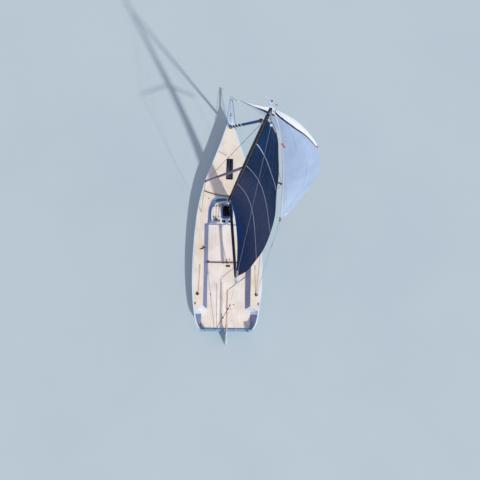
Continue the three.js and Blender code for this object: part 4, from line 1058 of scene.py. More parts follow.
def make_hatches():
    h = HATCH
    width, length, border, top = h["width"], h["length"], 2 * h["border"], ROOF_Z + h["rise"]
    middle = (h["x"], h["y"])
    outer = rounded_outline(width + border, length + border + 0.02, 0.05, (h["x"], h["y"] - 0.01))
    inner = rounded_outline(width, length, 0.07, middle)
    lip = rounded_outline(width + 0.05, length + 0.05, 0.08, middle)
    dress("companionway_frame", [
        # Frame in painted sky reflection
        (ring_plate(outer, inner, ROOF_Z, top, 0.004), FRAME_PAINTED_REFLECTION),
        (ring_plate(lip, inner, top - 0.002, top + 0.008, 0.003), BLACK),
    ], ["hatch_frame"])
    z = ROOF_Z + PANEL
    dress("companionway_step", [
        (plate(rectangle(-0.285, 0.1, -0.045, 0.09), z - 0.002, z + 0.008, 0.003), GELCOAT),
        (plate(rectangle(-0.27, -0.135, -0.035, 0.06), z + 0.004, z + 0.013, 0.003), DARK_PANE),
        (plate(rectangle(-0.005, 0.088, -0.035, 0.06), z + 0.004, z + 0.013, 0.003), DARK_PANE),
    ], [])
    low, high, half = WASHBOARD["low"], WASHBOARD["high"], WASHBOARD["half"]
    shapes = [(block((h["x"] - half, -0.075, low), (h["x"] + half, -0.02, high), 0.006), GELCOAT)]
    for x in (h["x"] - 0.11, h["x"] + 0.11):
        shapes.append((block((x - 0.085, -0.086, 0.7), (x + 0.085, -0.07, high - 0.03), 0.008), DARK_PANE))
    dress("washboard", shapes)
    f = FOREDECK_HATCH
    middle, width, length = (0, (f["aft"] + f["front"]) / 2), 2 * f["half"], f["front"] - f["aft"]
    frame_outline = rounded_outline(width, length, 0.02, middle)
    pane = rounded_outline(width - 0.05, length - 0.05, 0.02, middle)
    z = deck_z(f["front"]) + PANEL
    # A painted glint along the hatch's glass
    painted_glint = [(-0.085, f["aft"] + 0.06), (-0.045, f["aft"] + 0.06), (-0.045, 2.16), (-0.085, 2.2)]
    dress("foredeck_hatch", [
        (plate(frame_outline, deck_z(f["aft"]) + 0.004, z + 0.012, 0.004), CARBON),
        (plate(pane, z + 0.005, z + 0.017, 0.004), DARK_PANE),
        (plate(painted_glint, z + 0.014, z + 0.0185, 0.001), SEAM_BLUE_AND_GLINT),
    ])


make_hatches()

# Mast, spreaders and shrouds
VANG_Z, GOOSENECK_Z, BOOM_TOP = 1.31, 1.66, 1.72
HOUNDS_Z, MASTHEAD_Z = 11.65, 12.53
RAKE = 0.015
MAST = {"foot_y": 0.85, "foot_z": 1.13, "rx": 0.052, "ry": 0.075}
MAST_TAPER = [(MAST["foot_z"], 1.0), (8.5, 1.0), (11.0, 0.82), (MASTHEAD_Z, 0.62)]
LUFF_OFFSET = 0.1
BOOM_ANGLE = 5.2
SPREADER_TIP = (1.07, 0.33, 7.2)


def mast_y(z):
    return MAST["foot_y"] - RAKE * (z - MAST["foot_z"])


def mast_scale(z):
    return straight(MAST_TAPER, z)


def mast_middle(z):
    return mast_y(z) - MAST["ry"] * (1 - mast_scale(z))


def luff_point(z):
    return at(0, mast_y(z) - LUFF_OFFSET, z)


def swung(shapes):
    """Shapes drawn about the luff line with the boom straight aft, swung out to its rest angle."""
    return [(moved(shape, (0, luff_point(BOOM_TOP).y, 0), BOOM_ANGLE), finish) for shape, finish in shapes]


def make_mast():
    rows = []
    for z in spread(MAST["foot_z"], 8.5, 12) + spread(8.5, 11.0, 6)[1:] + spread(11.0, MASTHEAD_Z, 4)[1:]:
        s = mast_scale(z)
        rows.append(oval(at(0, mast_middle(z), z), at(MAST["rx"] * s, 0, 0), at(0, MAST["ry"] * s, 0), 28))
    rail = both_sides([(0.012, 0.008), (0.014, -0.006), (0.006, -0.012)])
    track = [[at(x, mast_y(z) - MAST["ry"] + dy, z) for x, dy in rail] for z in spread(1.7, 12.3, 10)]
    foot = at(0, MAST["foot_y"], ROOF_Z)
    step = [(0.112, 0), (0.112, 0.012), (0.104, 0.018), (0.092, 0.036), (0.087, 0.045), (0.05, 0.045)]
    shapes = [(solid(rows), CARBON), (solid(track), SPREADER_ALLOY), (turned(step, foot, sides=36), ALLOY)]
    for place in round_places(foot + at(0, 0, 0.015), 0.098, 8, 0.2):
        shapes.append((bolt(place, (0.008, 0.006), (0.008, 0.011)), STEEL))
    for _, side in SIDES:
        lug = (0, mast_y(VANG_Z) - 0.067, VANG_Z + side * 0.034)
        tang = (side * 0.03, mast_middle(HOUNDS_Z) + 0.005, HOUNDS_Z)
        shapes += [(box(lug, (0.018, 0.047, 0.007), 0.003), ALLOY), (box(tang, (0.01, 0.025, 0.06)), ALLOY)]
    shapes.append((turned([(0.007, -0.038), (0.007, 0.038)], luff_point(VANG_Z), sides=16), STEEL))
    for x, y, z in ((0.05, 0.0, 0.405), (-0.05, 0.02, 0.555), (0.05, 0.03, 0.805)):
        shapes.append((box(foot + at(x, y, z), (0.012, 0.02, 0.055), 0.005), BLACK))
    dress("mast", shapes)
    z = GOOSENECK_Z
    pin, back = luff_point(z), mast_y(z) - MAST["ry"]
    shapes = [(block((-0.022, back - 0.008, z - 0.095), (0.022, back - 0.0017, z + 0.095), 0.002), ALLOY)]
    for _, side in SIDES:
        lug = z + side * 0.05
        shapes.append((block((-0.02, pin.y - 0.016, lug - 0.014), (0.02, back - 0.007, lug + 0.014)), ALLOY))
    shapes.append((turned(both_ends([(0.0115, 0.068), (0.007, 0.064)]), pin, sides=18), STEEL))
    dress("gooseneck", shapes)


def make_spreaders():
    for name, side in SIDES:
        end = at(side * SPREADER_TIP[0], SPREADER_TIP[1], SPREADER_TIP[2])
        start = at(side * 0.0523, mast_y(end.z - 0.02) - 0.01, end.z - 0.02)
        rows = []
        for t in spread(0, 1, 8):
            chord, thick = at(0, 0.0475 - 0.019 * t, 0), at(0, 0, 0.011 - 0.0022 * t)
            rows.append(oval(start.lerp(end, t), chord, thick, 16))
        cap = box(end - at(0.001, 0.001, 0), (0.019, 0.031, 0.011), 0.005)
        dress(name + "_spreader", [(solid(rows), SPREADER_ALLOY), (cap, BLACK)])
        tip = end + at(side * 0.009, 0, 0)
        top = at(side * (MAST["rx"] * mast_scale(HOUNDS_Z) + 0.0054), mast_middle(HOUNDS_Z), HOUNDS_Z)
        foot = at(side * 1.075, 0.4, deck_z(0.43) + PANEL + 0.002)
        up = (tip - foot).normalized()
        shapes = [(tube([top, tip], 0.005), WIRE), (tube([tip, foot + at(0, 0, 0.08)], 0.005), WIRE),
                  (turned(both_ends([(0.004, 0.03), (0.009, 0.02)]), tip, up, 12), STEEL)]
        for low, high, radius in ((0.09, 0.14, 0.008), (0.15, 0.27, 0.011), (0.28, 0.34, 0.008)):
            shapes.append((tube([foot + up * low, foot + up * high], radius, 12), STEEL))
        shapes.append((block(foot - at(0.006, 0.03, 0.001), foot + at(0.006, 0.03, 0.09), 0.002), STEEL))
        dress(name + "_cap_shroud", shapes, [name + "_shroud"])


make_mast()
make_spreaders()

# Masthead, with the strut that holds the backstay clear of the sail, and the backstay
MAST_TOP = at(0, mast_middle(MASTHEAD_Z), MASTHEAD_Z)
LAMP_FOOT = MAST_TOP + at(0, 0.1, 0)
LAMP = [(0.02, 0.1195), (0.045, 0.12), (0.052, 0.124), (0.052, 0.134), (0.049, 0.144), (0.034, 0.1465),
        (0.0, 0.1467)]
LAMP_BAND = [(0.0525, 0.127), (0.0535, 0.129), (0.0535, 0.132), (0.0525, 0.134)]
VANE = {"rise": 0.19, "turn": 51, "pointer": 0.165, "tail": 0.06, "z": 0.016}
STRUT = {"length": 0.33, "rise": 0.12}
BRIDLE = {"x": 0.41, "y": STERN_Y + 0.03, "joint": (0, -3.207, 2.6)}


def make_masthead():
    top, tip = MAST_TOP, MAST_TOP + at(0, -STRUT["length"], STRUT["rise"])
    band = [tip.lerp(top + at(0, 0, 0.02), share) for share in (0.1, 0.16)]
    shapes = [
        (block(top + at(-0.032, 0.03, 0), top + at(0.032, 0.125, 0.04), 0.008), WHITE_PAINT),
        (block(top + at(-0.026, -0.09, 0), top + at(0.026, 0.04, 0.034), 0.006), BLACK),
        (tube([top + at(0, -0.04, 0.025), tip], [0.013, 0.011], 14), ALLOY),
        (block(tip - at(0.022, 0.024, 0.016), tip + at(0.022, 0.024, 0.014), 0.006), WHITE_PAINT),
        (tube(band, 0.0165, 14), BLACK),
        (turned([(0.009, 0.01), (0.009, 0.121)], LAMP_FOOT, sides=14), ALLOY),
        (turned(LAMP, LAMP_FOOT, sides=32), WHITE_PAINT),
        (turned(LAMP_BAND, LAMP_FOOT, sides=32), BLACK),
        (turned([(0.007, 0.1455), (0.005, 0.152), (0.0045, 0.1895)], LAMP_FOOT, sides=12), BLACK),
    ]
    sheave = both_ends([(0.012, 0.008), (0.022, 0.006), (0.018, 0)])
    for _, side in SIDES:
        shapes.append((turned(sheave, top + at(side * 0.022, -0.075, 0.02), (1, 0, 0), 20), STEEL))
    dress("masthead_crane", shapes)
    head, tail, z = VANE["pointer"], VANE["tail"], VANE["z"]
    arrow = [(0, head - 0.035, z), (0, head - 0.034, z), (0, head, z)]
    shapes = [
        (turned([(0.008, 0.001), (0.015, 0.004), (0.015, 0.02), (0.006, 0.028)], sides=18), BLACK),
        (tube([(0, head - 0.03, z), (0, 0, z), (0, -tail - 0.06, z)], 0.004, 10), TAPE_WHITE),
        (tube(arrow, [0.004, 0.012, 0.001], 10), TAPE_WHITE),
        (block((-0.0018, -tail - 0.07, -0.024), (0.0018, -tail - 0.025, 0.04), 0.0006), MARK_RED),
    ]
    place = LAMP_FOOT + at(0, 0, VANE["rise"])
    shapes = [(moved(shape, place, VANE["turn"]), finish) for shape, finish in shapes]
    dress("wind_vane", shapes, body="wind_vane")


def make_backstay():
    start = MAST_TOP + at(0, 0.004 - STRUT["length"], STRUT["rise"] - 0.0136)
    joint = Vector(BRIDLE["joint"])
    way = (start - joint).normalized()
    shapes = [(tube([start, joint + at(0, 0, 0.045)], 0.0036), ROPE_GREY)]
    for reach, size in ((0.0, 0.026), (0.16, 0.018)):
        pulley = both_ends([(0.004, 0.05), (size * 0.8, 0.035), (size, 0)])
        shapes.append((turned(pulley, joint + way * reach, way, 16), BLACK))
    knot = both_ends([(0.011, 0.06), (0.026, 0.04), (0.03, 0)])
    eye = [(0.024, 0), (0.024, 0.006), (0.016, 0.01), (0.014, 0.024), (0.008, 0.03)]
    for name, side in SIDES:
        foot = at(side * BRIDLE["x"], BRIDLE["y"], SILL["z"] + 0.001)
        end = foot + at(0, 0, 0.02)
        if name == "port":
            shapes.append((tube([joint, end], 0.011), ROPE_BLACK))
            for share in (0.12, 0.46):
                shapes.append((turned(knot, joint.lerp(end, share), end - joint, 14), BLACK))
        else:
            shapes.append((tube([joint, end], 0.005), ROPE_WHITE))
        shapes.append((turned(eye, foot, sides=18), WHITE_PAINT))
    dress("backstay", shapes)


make_masthead()
make_backstay()

# Boom and vang, drawn about the luff line with the boom straight aft
BOOM_LENGTH, BOOM_HALF, BOOM_HEIGHT = 3.18, 0.045, 0.12
BOOM_END = [(-BOOM_LENGTH, -0.006), (-BOOM_LENGTH + 0.014, 0.006), (-2.93, 0.006), (-2.918, 0.0005)]
BOOM_COLLAR = [(-0.075, 0), (-0.07, 0.001), (-0.045, 0.001), (-0.04, 0)]


def boom_ring(y, widen=0.0):
    middle = (0, BOOM_TOP - BOOM_HEIGHT / 2)
    outline = rounded_outline(2 * (BOOM_HALF + widen), BOOM_HEIGHT + 2 * widen, 0.028, middle)
    return [at(x, y, z) for x, z in outline]


def make_boom():
    top = BOOM_TOP
    shapes = [
        (solid([boom_ring(y) for y in spread(-3.0, -0.06, 10)]), BOOM_CARBON),
        (solid([boom_ring(*row) for row in BOOM_COLLAR]), ALLOY),
        (solid([boom_ring(*row) for row in BOOM_END]), RUDDER_PAINT),
        (box((-0.02, -3.095, top + 0.005), (0.005, 0.075, 0.01), 0.002), BLACK),
        (box((0.02, -3.095, top + 0.005), (0.005, 0.075, 0.01), 0.002), BLACK),
        (block((-0.014, -2.95, top - 0.002), (0.014, -0.1, top + 0.006), 0.002), BLACK),
        (block((-0.012, -2.96, top), (0.012, -2.84, top + 0.138), 0.005), ALLOY),
        (block((-0.012, -0.14, top), (0.012, -0.045, top + 0.138), 0.005), ALLOY),
        (block((-0.01, -0.062, top - 0.085), (0.01, -0.0085, top - 0.035)), ALLOY),
    ]
    for _, side in SIDES:
        x = side * 0.052
        line = smooth_path([(x, -2.9, 1.69), (x, -1.6, 1.672), (x, -0.3, 1.69)])
        shapes.append((tube(line, 0.004), ROPE_BLACK))
        shapes += [(box((side * 0.05, y, 1.6875), (0.008, 0.03, 0.0175)), ALLOY) for y in (-2.9, -0.3)]
    dress("boom", swung(shapes), body="boom")
    shift = luff_point(VANG_Z).y - luff_point(BOOM_TOP).y
    foot, head = at(0, shift - 0.03, VANG_Z), at(0, -0.98, BOOM_TOP - BOOM_HEIGHT - 0.022)
    shapes = [
        (tube([foot, foot.lerp(head, 0.55)], 0.019, 16), CARBON),
        (tube([foot.lerp(head, 0.5), head], 0.014, 16), ALLOY),
        (box((0, shift - 0.019, VANG_Z - 0.016), (0.012, 0.031, 0.006), 0.002), ALLOY),
        (box((0, shift - 0.019, VANG_Z + 0.016), (0.012, 0.031, 0.006), 0.002), ALLOY),
        (block(head - at(0.016, 0.045, 0.012), head + at(0.016, 0.045, 0.025), 0.005), ALLOY),
    ]
    dress("vang", swung(shapes), body="boom")


make_boom()

# Mainsail. Columns: height, chord, angle off the centreline, camber
MAIN_SECTIONS = [
    (1.86, 2.90, 5.2, 0.05), (2.90, 2.74, 12, 0.09), (4.15, 2.48, 17, 0.11), (5.60, 2.23, 21, 0.12),
    (7.10, 1.90, 24.5, 0.12), (8.50, 1.56, 27, 0.115), (9.70, 1.15, 29, 0.10), (10.50, 0.88, 33, 0.09),
    (11.25, 0.60, 36, 0.08), (11.90, 0.42, 35, 0.06), (12.30, 0.27, 30, 0.04),
]
MAIN_FOOT, MAIN_HEAD = 1.86, 12.30
# Battens and seams, as places of the sail's map: share of the chord, height
MAIN_BATTENS = [
    [(0.0, 5.20), (0.17, 5.03), (0.36, 4.62), (0.60, 4.20), (0.80, 4.16), (0.995, 4.28)],
    [(0.0, 7.94), (0.29, 7.66), (0.57, 7.25), (0.80, 7.06), (0.995, 7.12)],
    [(0.0, 10.30), (0.30, 10.0), (0.60, 9.76), (0.995, 9.80)],
]
MAIN_SEAMS = [
    [(0.5, 12.25), (0.35, 9.0), (0.2, 6.0)], [(0.6, 12.25), (0.62, 9.2), (0.6, 6.2), (0.5, 3.4)],
    [(0.98, 1.92), (0.75, 3.2), (0.5, 5.4)], [(0.98, 1.92), (0.6, 2.6), (0.25, 3.8)],
    [(0.99, 1.92), (0.88, 3.8), (0.8, 6.0)], [(0.02, 1.92), (0.3, 2.9), (0.62, 3.7)],
]


def main_point(t, z):
    """A point of the mainsail: t from the luff to the leech, at a height."""
    chord, angle, camber = (through(MAIN_SECTIONS, z, k) for k in (1, 2, 3))
    belly = camber * chord * 4 * t * (1 - t) * (1.25 - 0.5 * t)
    s, c = math.sin(math.radians(angle)), math.cos(math.radians(angle))
    return luff_point(z) + at(s, -c, 0) * chord * t + at(c, s, 0) * belly


# Gennaker. Columns: height at the luff and the leech, luff x and y, leech x and y, how far the two
# curve handles reach off the chord, and how far the leech's one runs along it, as shares of the chord
KITE_SECTIONS = [
    (1.35, 2.60, 0.200, 4.77, 1.79, -0.02, 0.33, 0.41, -0.08),
    (2.70, 3.50, 0.215, 4.31, 1.66, 0.26, 0.30, 0.65, 0),
    (4.30, 4.80, 0.220, 3.70, 1.47, 0.48, 0.33, 0.85, 0.12),
    (6.00, 6.30, 0.215, 3.06, 1.24, 0.69, 0.45, 0.98, 0.25),
    (7.50, 7.70, 0.195, 2.50, 1.02, 0.72, 0.50, 1.00, 0.30),
    (9.00, 9.10, 0.160, 1.96, 0.76, 0.79, 0.50, 1.05, 0.30),
    (10.30, 10.40, 0.115, 1.49, 0.52, 0.76, 0.48, 1.00, 0.30),
    (11.40, 11.45, 0.070, 1.10, 0.30, 0.76, 0.42, 0.85, 0.30),
    (12.20, 12.21, 0.030, 0.85, 0.09, 0.78, 0.30, 0.50, 0.30),
]
KITE_ROWS = [(i / 8,) + row for i, row in enumerate(KITE_SECTIONS)]
# Where the luff band ends, whose whiteness and stronger glow are painted sunlight, from the foot to the head:
# share of the width, share of the height
KITE_SEAM = [
    (0.0, 0.112), (0.017, 0.138), (0.042, 0.162), (0.067, 0.188), (0.117, 0.222), (0.158, 0.268),
    (0.2, 0.298), (0.275, 0.305), (0.35, 0.312), (0.44, 0.328), (0.55, 0.375), (0.63, 0.47),
    (0.67, 0.59), (0.70, 0.68), (0.74, 0.76), (0.79, 0.84), (0.86, 0.91), (0.93, 0.985),
]
SEAM_HEIGHTS = [(v, u) for u, v in KITE_SEAM]


def kite_point(u, v):
    """A point of the gennaker: u from the luff to the leech, v from the foot to the head."""
    luff_z, leech_z, xl, yl, xe, ye, reach_luff, reach_leech, leech_along = (
        through(KITE_ROWS, v, k) for k in range(1, 10))
    chord = math.hypot(xe - xl, ye - yl)
    along = at(xe - xl, ye - yl, 0) / chord
    off = at(-along.y, along.x, 0)
    start, end = at(xl, yl, luff_z), at(xe, ye, leech_z)
    rise = at(0, 0, leech_z - luff_z)
    first = start + (along * 0.28 + off * reach_luff) * chord + rise * 0.25
    second = end + (along * leech_along + off * reach_leech) * chord - rise * 0.25
    return start * (1 - u) ** 3 + first * 3 * u * (1 - u) ** 2 + second * 3 * u * u * (1 - u) + end * u ** 3


def sail_normal(point, a, b, step=0.004):
    side = point(min(1, a + step), b) - point(max(0, a - step), b)
    return side.cross(point(a, b + step) - point(a, b - step)).normalized()


def sail_tapes(point, low, high, tapes):
    """Flat tapes on both sides of a sail between two heights of its map. Each tape is a path in the map, a
    width or a list of one for each point of the path, a finish, and how far it stands off the cloth."""
    shapes = []
    for path, width, finish, lift in tapes:
        middles = [point(a, b) for a, b in path]
        ways = directions(middles)
        normals = [sail_normal(point, a, min(max(b, low + 0.005), high - 0.005)) for a, b in path]
        widths = width if isinstance(width, list) else [width] * len(path)
        for off in (-lift, lift):
            rows = []
            for middle, way, normal, size in zip(middles, ways, normals, widths):
                side, face = normal.cross(way).normalized() * size, normal * off
                rows.append([middle + face * 0.35 - side * 0.5, middle + face - side * 0.42,
                             middle + face + side * 0.42, middle + face * 0.35 + side * 0.5])
            shapes.append((solid(rows), finish))
    return shapes


def map_path(points, steps=8):
    """A smooth line through a few places of a sail's map."""
    return [(p.x, p.y) for p in smooth_path([(a, b, 0) for a, b in points], steps)]


def path_length(points):
    return sum((b - a).length for a, b in zip(points, points[1:]))


def add_thickness(piece, thickness):
    wall = piece.modifiers.new("cloth", "SOLIDIFY")
    wall.thickness = thickness
    wall.offset = 0


def make_mainsail():
    steps, columns = 90, 30
    rows = [[main_point(t, z) for t in spread(0, 1, columns)] for z in spread(MAIN_FOOT, MAIN_HEAD, steps)]
    cloth = skin(rows, maps=lambda i, j: (j / columns, i / steps))
    sail = dress("mainsail", [(cloth, MAIN_CLOTH)], body="boom")
    add_thickness(sail, 0.005)
    tapes = [(map_path(batten), 0.036, TAPE_WHITE, 0.009) for batten in MAIN_BATTENS]
    tapes += [(map_path(seam, 10), 0.005, SEAM_BLUE_AND_GLINT, 0.0034) for seam in MAIN_SEAMS]
    tapes += [
        ([(0.992, z) for z in spread(MAIN_FOOT + 0.01, MAIN_HEAD - 0.01, 60)], 0.022, TAPE_DARK, 0.0045),
        ([(0.004, z) for z in spread(MAIN_FOOT + 0.02, MAIN_HEAD - 0.02, 60)], 0.03, TAPE_DARK, 0.006),
        ([(t, MAIN_FOOT + 0.012) for t in spread(0.01, 0.99, 30)], 0.024, TAPE_DARK, 0.0045),
        ([(t, 12.2) for t in spread(0.03, 0.97, 6)], 0.16, TAPE_WHITE, 0.007),
        ([(t, 1.96) for t in spread(0.93, 0.995, 4)], 0.18, TAPE_WHITE, 0.007),
    ]
    shapes = sail_tapes(main_point, MAIN_FOOT, MAIN_HEAD, tapes)
    dress("mainsail_battens_and_tapes", shapes, [], "boom")


def make_gennaker():
    steps, half = 100, 30
    places = []
    for v in spread(0, 1, steps):
        seam = min(0.97, max(0.012, straight(SEAM_HEIGHTS, v)))
        places.append([(u, v) for u in spread(0, seam, half) + spread(seam, 1, half)[1:]])
    rows = [[kite_point(u, v) for u, v in row] for row in places]

    def finish(number):
        row, column = divmod(number, 2 * half)
        # Near the tack a dark band, partly painted shadow under the curled luff
        if 0.1 < row / steps < 0.292 and -8 <= column - half < 2:
            return KITE_DARK_AND_SHADOW
        # Luff side in painted sunlight, the rest in the blue grey cloth
        return KITE_PAINTED_SUNLIT if column < half else KITE_CLOTH
    cloth = skin(rows, maps=lambda i, j: places[i][j])
    sail = dress("gennaker", [(cloth, finish)])
    add_thickness(sail, 0.004)
    seam = map_path(KITE_SEAM, 6)
    # The seam's dark tape widens near the tack, partly painted shadow under the curled luff
    tapes = [(seam, [0.034 + 0.2 * math.exp(-((u - 0.1) / 0.055) ** 2) for u, _ in seam], TAPE_DARK, 0.0055)]
    for u in (0.15, 0.35, 0.55, 0.75, 0.9):
        ray = [(0.5 + (u - 0.5) * 0.3, 0.985), (0.5 + (u - 0.5) * 0.8, 0.85), (u, 0.6)]
        tapes.append((map_path(ray, 10), 0.012, SEAM_GREY, 0.003))
    for u, v in ((0.3, 0.05), (0.4, 0.22), (0.6, 0.38), (0.85, 0.5)):
        ray = [(0.985, 0.01), ((0.985 + u) / 2, v * 0.42), (u, v)]
        tapes.append((map_path(ray, 10), 0.012, SEAM_GREY, 0.003))
    edge, corner = spread(0.004, 0.996, 80), spread(0.003, 0.03, 4)
    tapes += [
        ([(0.995, v) for v in edge], 0.03, TAPE_WHITE, 0.004),
        ([(0.004, v) for v in edge], 0.03, TAPE_WHITE, 0.004),
        ([(u, 0.004) for u in spread(0.005, 0.995, 60)], 0.03, TAPE_WHITE, 0.004),
        ([(u, 0.985) for u in spread(0.05, 0.95, 8)], 0.2, TAPE_WHITE, 0.005),
        ([(0.965, v) for v in corner], 0.16, TAPE_WHITE, 0.005),
        ([(0.035, v) for v in corner], 0.14, TAPE_WHITE, 0.005),
        ([(0.993, 0.69), (0.985, 0.667), (0.978, 0.645)], 0.05, MARK_RED, 0.007),
    ]
    details = dress("gennaker_seams_and_tapes", sail_tapes(kite_point, 0, 1, tapes), [])
    area, levels, marks = 0.0, spread(0, 1, 40), spread(0, 1, 30)
    for low, high in zip(levels, levels[1:]):
        for left, right in zip(marks, marks[1:]):
            up = kite_point(right, high) - kite_point(left, low)
            down = kite_point(left, high) - kite_point(right, low)
            area += up.cross(down).length / 2
    width = max(path_length([kite_point(u, v) for u in marks]) for v in (0.1, 0.3, 0.5))
    height = path_length([kite_point(0, v) for v in marks])
    # Thin nylon lets the sun through
    sail.visible_shadow = False
    details.visible_shadow = False


make_mainsail()
make_gennaker()

# Bow: fitting, sprit and bobstay
SPRIT = {"aft_y": 3.96, "length": 1.04, "z": 1.085, "rise": 0.035, "radius": 0.038}


def sprit_point(along):
    return at(0, SPRIT["aft_y"] + along, SPRIT["z"] + SPRIT["rise"] * along)


def collar(radius, width, thickness):
    """The outline of a ring round a bar, for turned()."""
    outer = radius + thickness
    return [(radius, 0), (outer, width * 0.2), (outer, width * 0.8), (radius, width)]


def make_bow():
    low, high = deck_z(3.85) + 0.001, deck_z(4.1) + 0.062
    outline = [(-0.13, 3.852), (0.13, 3.852), (0.13, 3.9), (0.04, 4.249), (-0.04, 4.249), (-0.13, 3.9)]
    raised = [(-0.085, 3.87), (0.085, 3.87), (0.032, 4.2), (-0.032, 4.2)]
    shapes = [(plate(outline, low, high - 0.014, 0.008), WHITE_PAINT),
              (plate(raised, high - 0.016, high, 0.007), WHITE_PAINT)]
    for x, y in ((-0.105, 3.885), (0.105, 3.885), (-0.05, 4.14), (0.05, 4.14)):
        shapes.append((bolt((x, y, high - 0.0145), (0.009, 0.006), (0.002, 0.004), sides=14), STEEL))
    length, radius = SPRIT["length"], SPRIT["radius"]
    way = sprit_point(1) - sprit_point(0)
    shapes.append((turned(collar(radius, 0.03, 0.007), sprit_point(0.262), way, 28), BLACK))
    dress("bow_fitting", shapes)
    cap = [(radius + 0.001, 0), (radius + 0.001, 0.02), (0.03, 0.029), (0.012, 0.03)]
    shapes = [(tube([sprit_point(a) for a in (0, 0.3, 0.7, length - 0.03)], radius, 28), SPRIT_PAINT),
              (turned(cap, sprit_point(length - 0.03), way, 28), ALLOY)]
    for along in (0.34, 0.9):
        shapes.append((turned(collar(radius, 0.018, 0.0015), sprit_point(along), way, 28), TAPE_DARK))
    dress("bowsprit", shapes)
    top, foot = sprit_point(length - 0.06) - at(0, 0, radius + 0.003), at(0, BOW_Y + 0.012, 0.26)
    upper = [(0.0045, 0), (0.009, 0.008), (0.009, 0.05), (0.0045, 0.06)]
    lower = [(0.0045, 0), (0.008, 0.01), (0.008, 0.06), (0.0045, 0.07)]
    dress("bobstay", [
        (tube([top, foot], 0.0065, 10), ROPE_BLUE),
        (turned(upper, top.lerp(foot, 0.02), foot - top, 14), STEEL),
        (turned(lower, foot.lerp(top, 0.03), top - foot, 14), STEEL),
        (block((-0.008, BOW_Y + 0.0004, 0.22), (0.008, BOW_Y + 0.03, 0.3), 0.003), STEEL),
    ])


# Furled jib on the forestay, with its drum and swivel
FORESTAY_Y = 3.79
ROLL = {"low": 0.022, "high": 0.935, "turns": 8, "wrapped": 0.6, "steps": 220, "sides": 28}
DRUM = [(0.02, 0), (0.066, 0.002), (0.068, 0.006), (0.066, 0.012), (0.042, 0.016), (0.042, 0.112),
        (0.066, 0.116), (0.068, 0.122), (0.066, 0.128), (0.02, 0.13)]
SWIVEL = [(0.012, 0), (0.04, 0.004), (0.046, 0.016), (0.046, 0.06), (0.04, 0.072), (0.034, 0.08),
          (0.034, 0.1), (0.046, 0.11), (0.046, 0.148), (0.038, 0.158), (0.012, 0.162)]
SWIVEL_RING = [(0.0345, 0.083), (0.037, 0.086), (0.037, 0.094), (0.0345, 0.097)]


def stay_point(t):
    foot = at(0, FORESTAY_Y, deck_z(FORESTAY_Y + 0.06) + 0.0003)
    head = at(0, mast_middle(HOUNDS_Z) + MAST["ry"] * mast_scale(HOUNDS_Z) + 0.007, HOUNDS_Z)
    return foot.lerp(head, t)


def make_furled_jib():
    base, start, top = stay_point(0), stay_point(0.006), stay_point(0.937)
    way = (stay_point(1) - base).normalized()
    side, other = square_to(way)
    line, wound = [], 40 * math.pi
    for a in spread(0, wound, 320):
        out = side * math.cos(a) + other * math.sin(a)
        line.append(start + way * (0.024 + 0.078 * a / wound) + out * 0.0475)
    dress("forestay", [
        (tube([stay_point(0.001), stay_point(1)], 0.007, 12), WIRE),
        (turned(DRUM, start, way, 36), BLACK),
        (tube(line, 0.0045, 6), ROPE_WHITE),
        (block(base - at(0.014, 0.04, 0), base + at(0.014, 0.04, 0.06)), STEEL),
    ])

    # The sail rolls up into a spiral, whose outer edge winds along the roll
    steps, sides = ROLL["steps"], ROLL["sides"]
    rows = []
    for t in spread(0, 1, steps):
        middle = stay_point(ROLL["low"] + (ROLL["high"] - ROLL["low"]) * t)
        radius = (0.050 - 0.018 * t) * (0.55 if t in (0, 1) else 1)
        laps = [(k / sides - t * ROLL["turns"]) % 1 for k in range(sides)]
        rows.append([middle + (side * c + other * s) * radius * (0.93 + 0.11 * lap)
                     for lap, (c, s) in zip(laps, circle(sides))])

    def finish(number):
        i, k = divmod(min(number, steps * sides - 1), sides)
        t = i / steps
        if ROLL["wrapped"] < t < 0.985:
            return JIB_BLUE
        return JIB_PALE if ((k + 0.5) / sides - t * ROLL["turns"]) % 1 < 0.4 else JIB_DARK
    roll = solid(rows, lambda i, j: (j / sides, i / steps * 10))
    dress("furled_jib", [(roll, finish)])
    swivel = [(turned(SWIVEL, top, way, 28), BLACK), (turned(SWIVEL_RING, top, way, 28), STEEL)]
    dress("furler_swivel", swivel)


# The gennaker's lines, from its tack to the sprit and from its clew to the turning block
TACK = at(0.1996, 4.7701, 1.349)
CLEW = at(1.79, -0.021, 2.5965)
TURNING_BLOCK = {"x": 1.145, "y": -2.8, "radius": 0.062, "height": 0.046}
# Outline of a turning block: shares of its radius, heights
BLOCK_OUTLINE = [(1, 0.0), (1, 0.006), (0.86, 0.009), (0.8, 0.02), (0.8, 0.028), (0.9, 0.034), (0.88, 0.04),
                 (0.6, 0.043), (0.5, 0.044)]
# Height of the fittings' feet over the panels
SEAT_GAP = 0.0006


def block_foot(side):
    b = TURNING_BLOCK
    return at(side * b["x"], b["y"], deck_z(b["y"] + b["radius"]) + PANEL + SEAT_GAP)


def ring_loop(middle, across, up, radius, thickness, sides=20):
    """A small closed ring in the plane of two directions."""
    across, up = Vector(across).normalized(), Vector(up).normalized()
    out = across.cross(up)
    arms = [across * c + up * s for c, s in circle(sides)]
    rows = [oval(middle + arm * radius, arm * thickness, out * thickness, 8) for arm in arms + arms[:1]]
    return skin(rows, around=True)


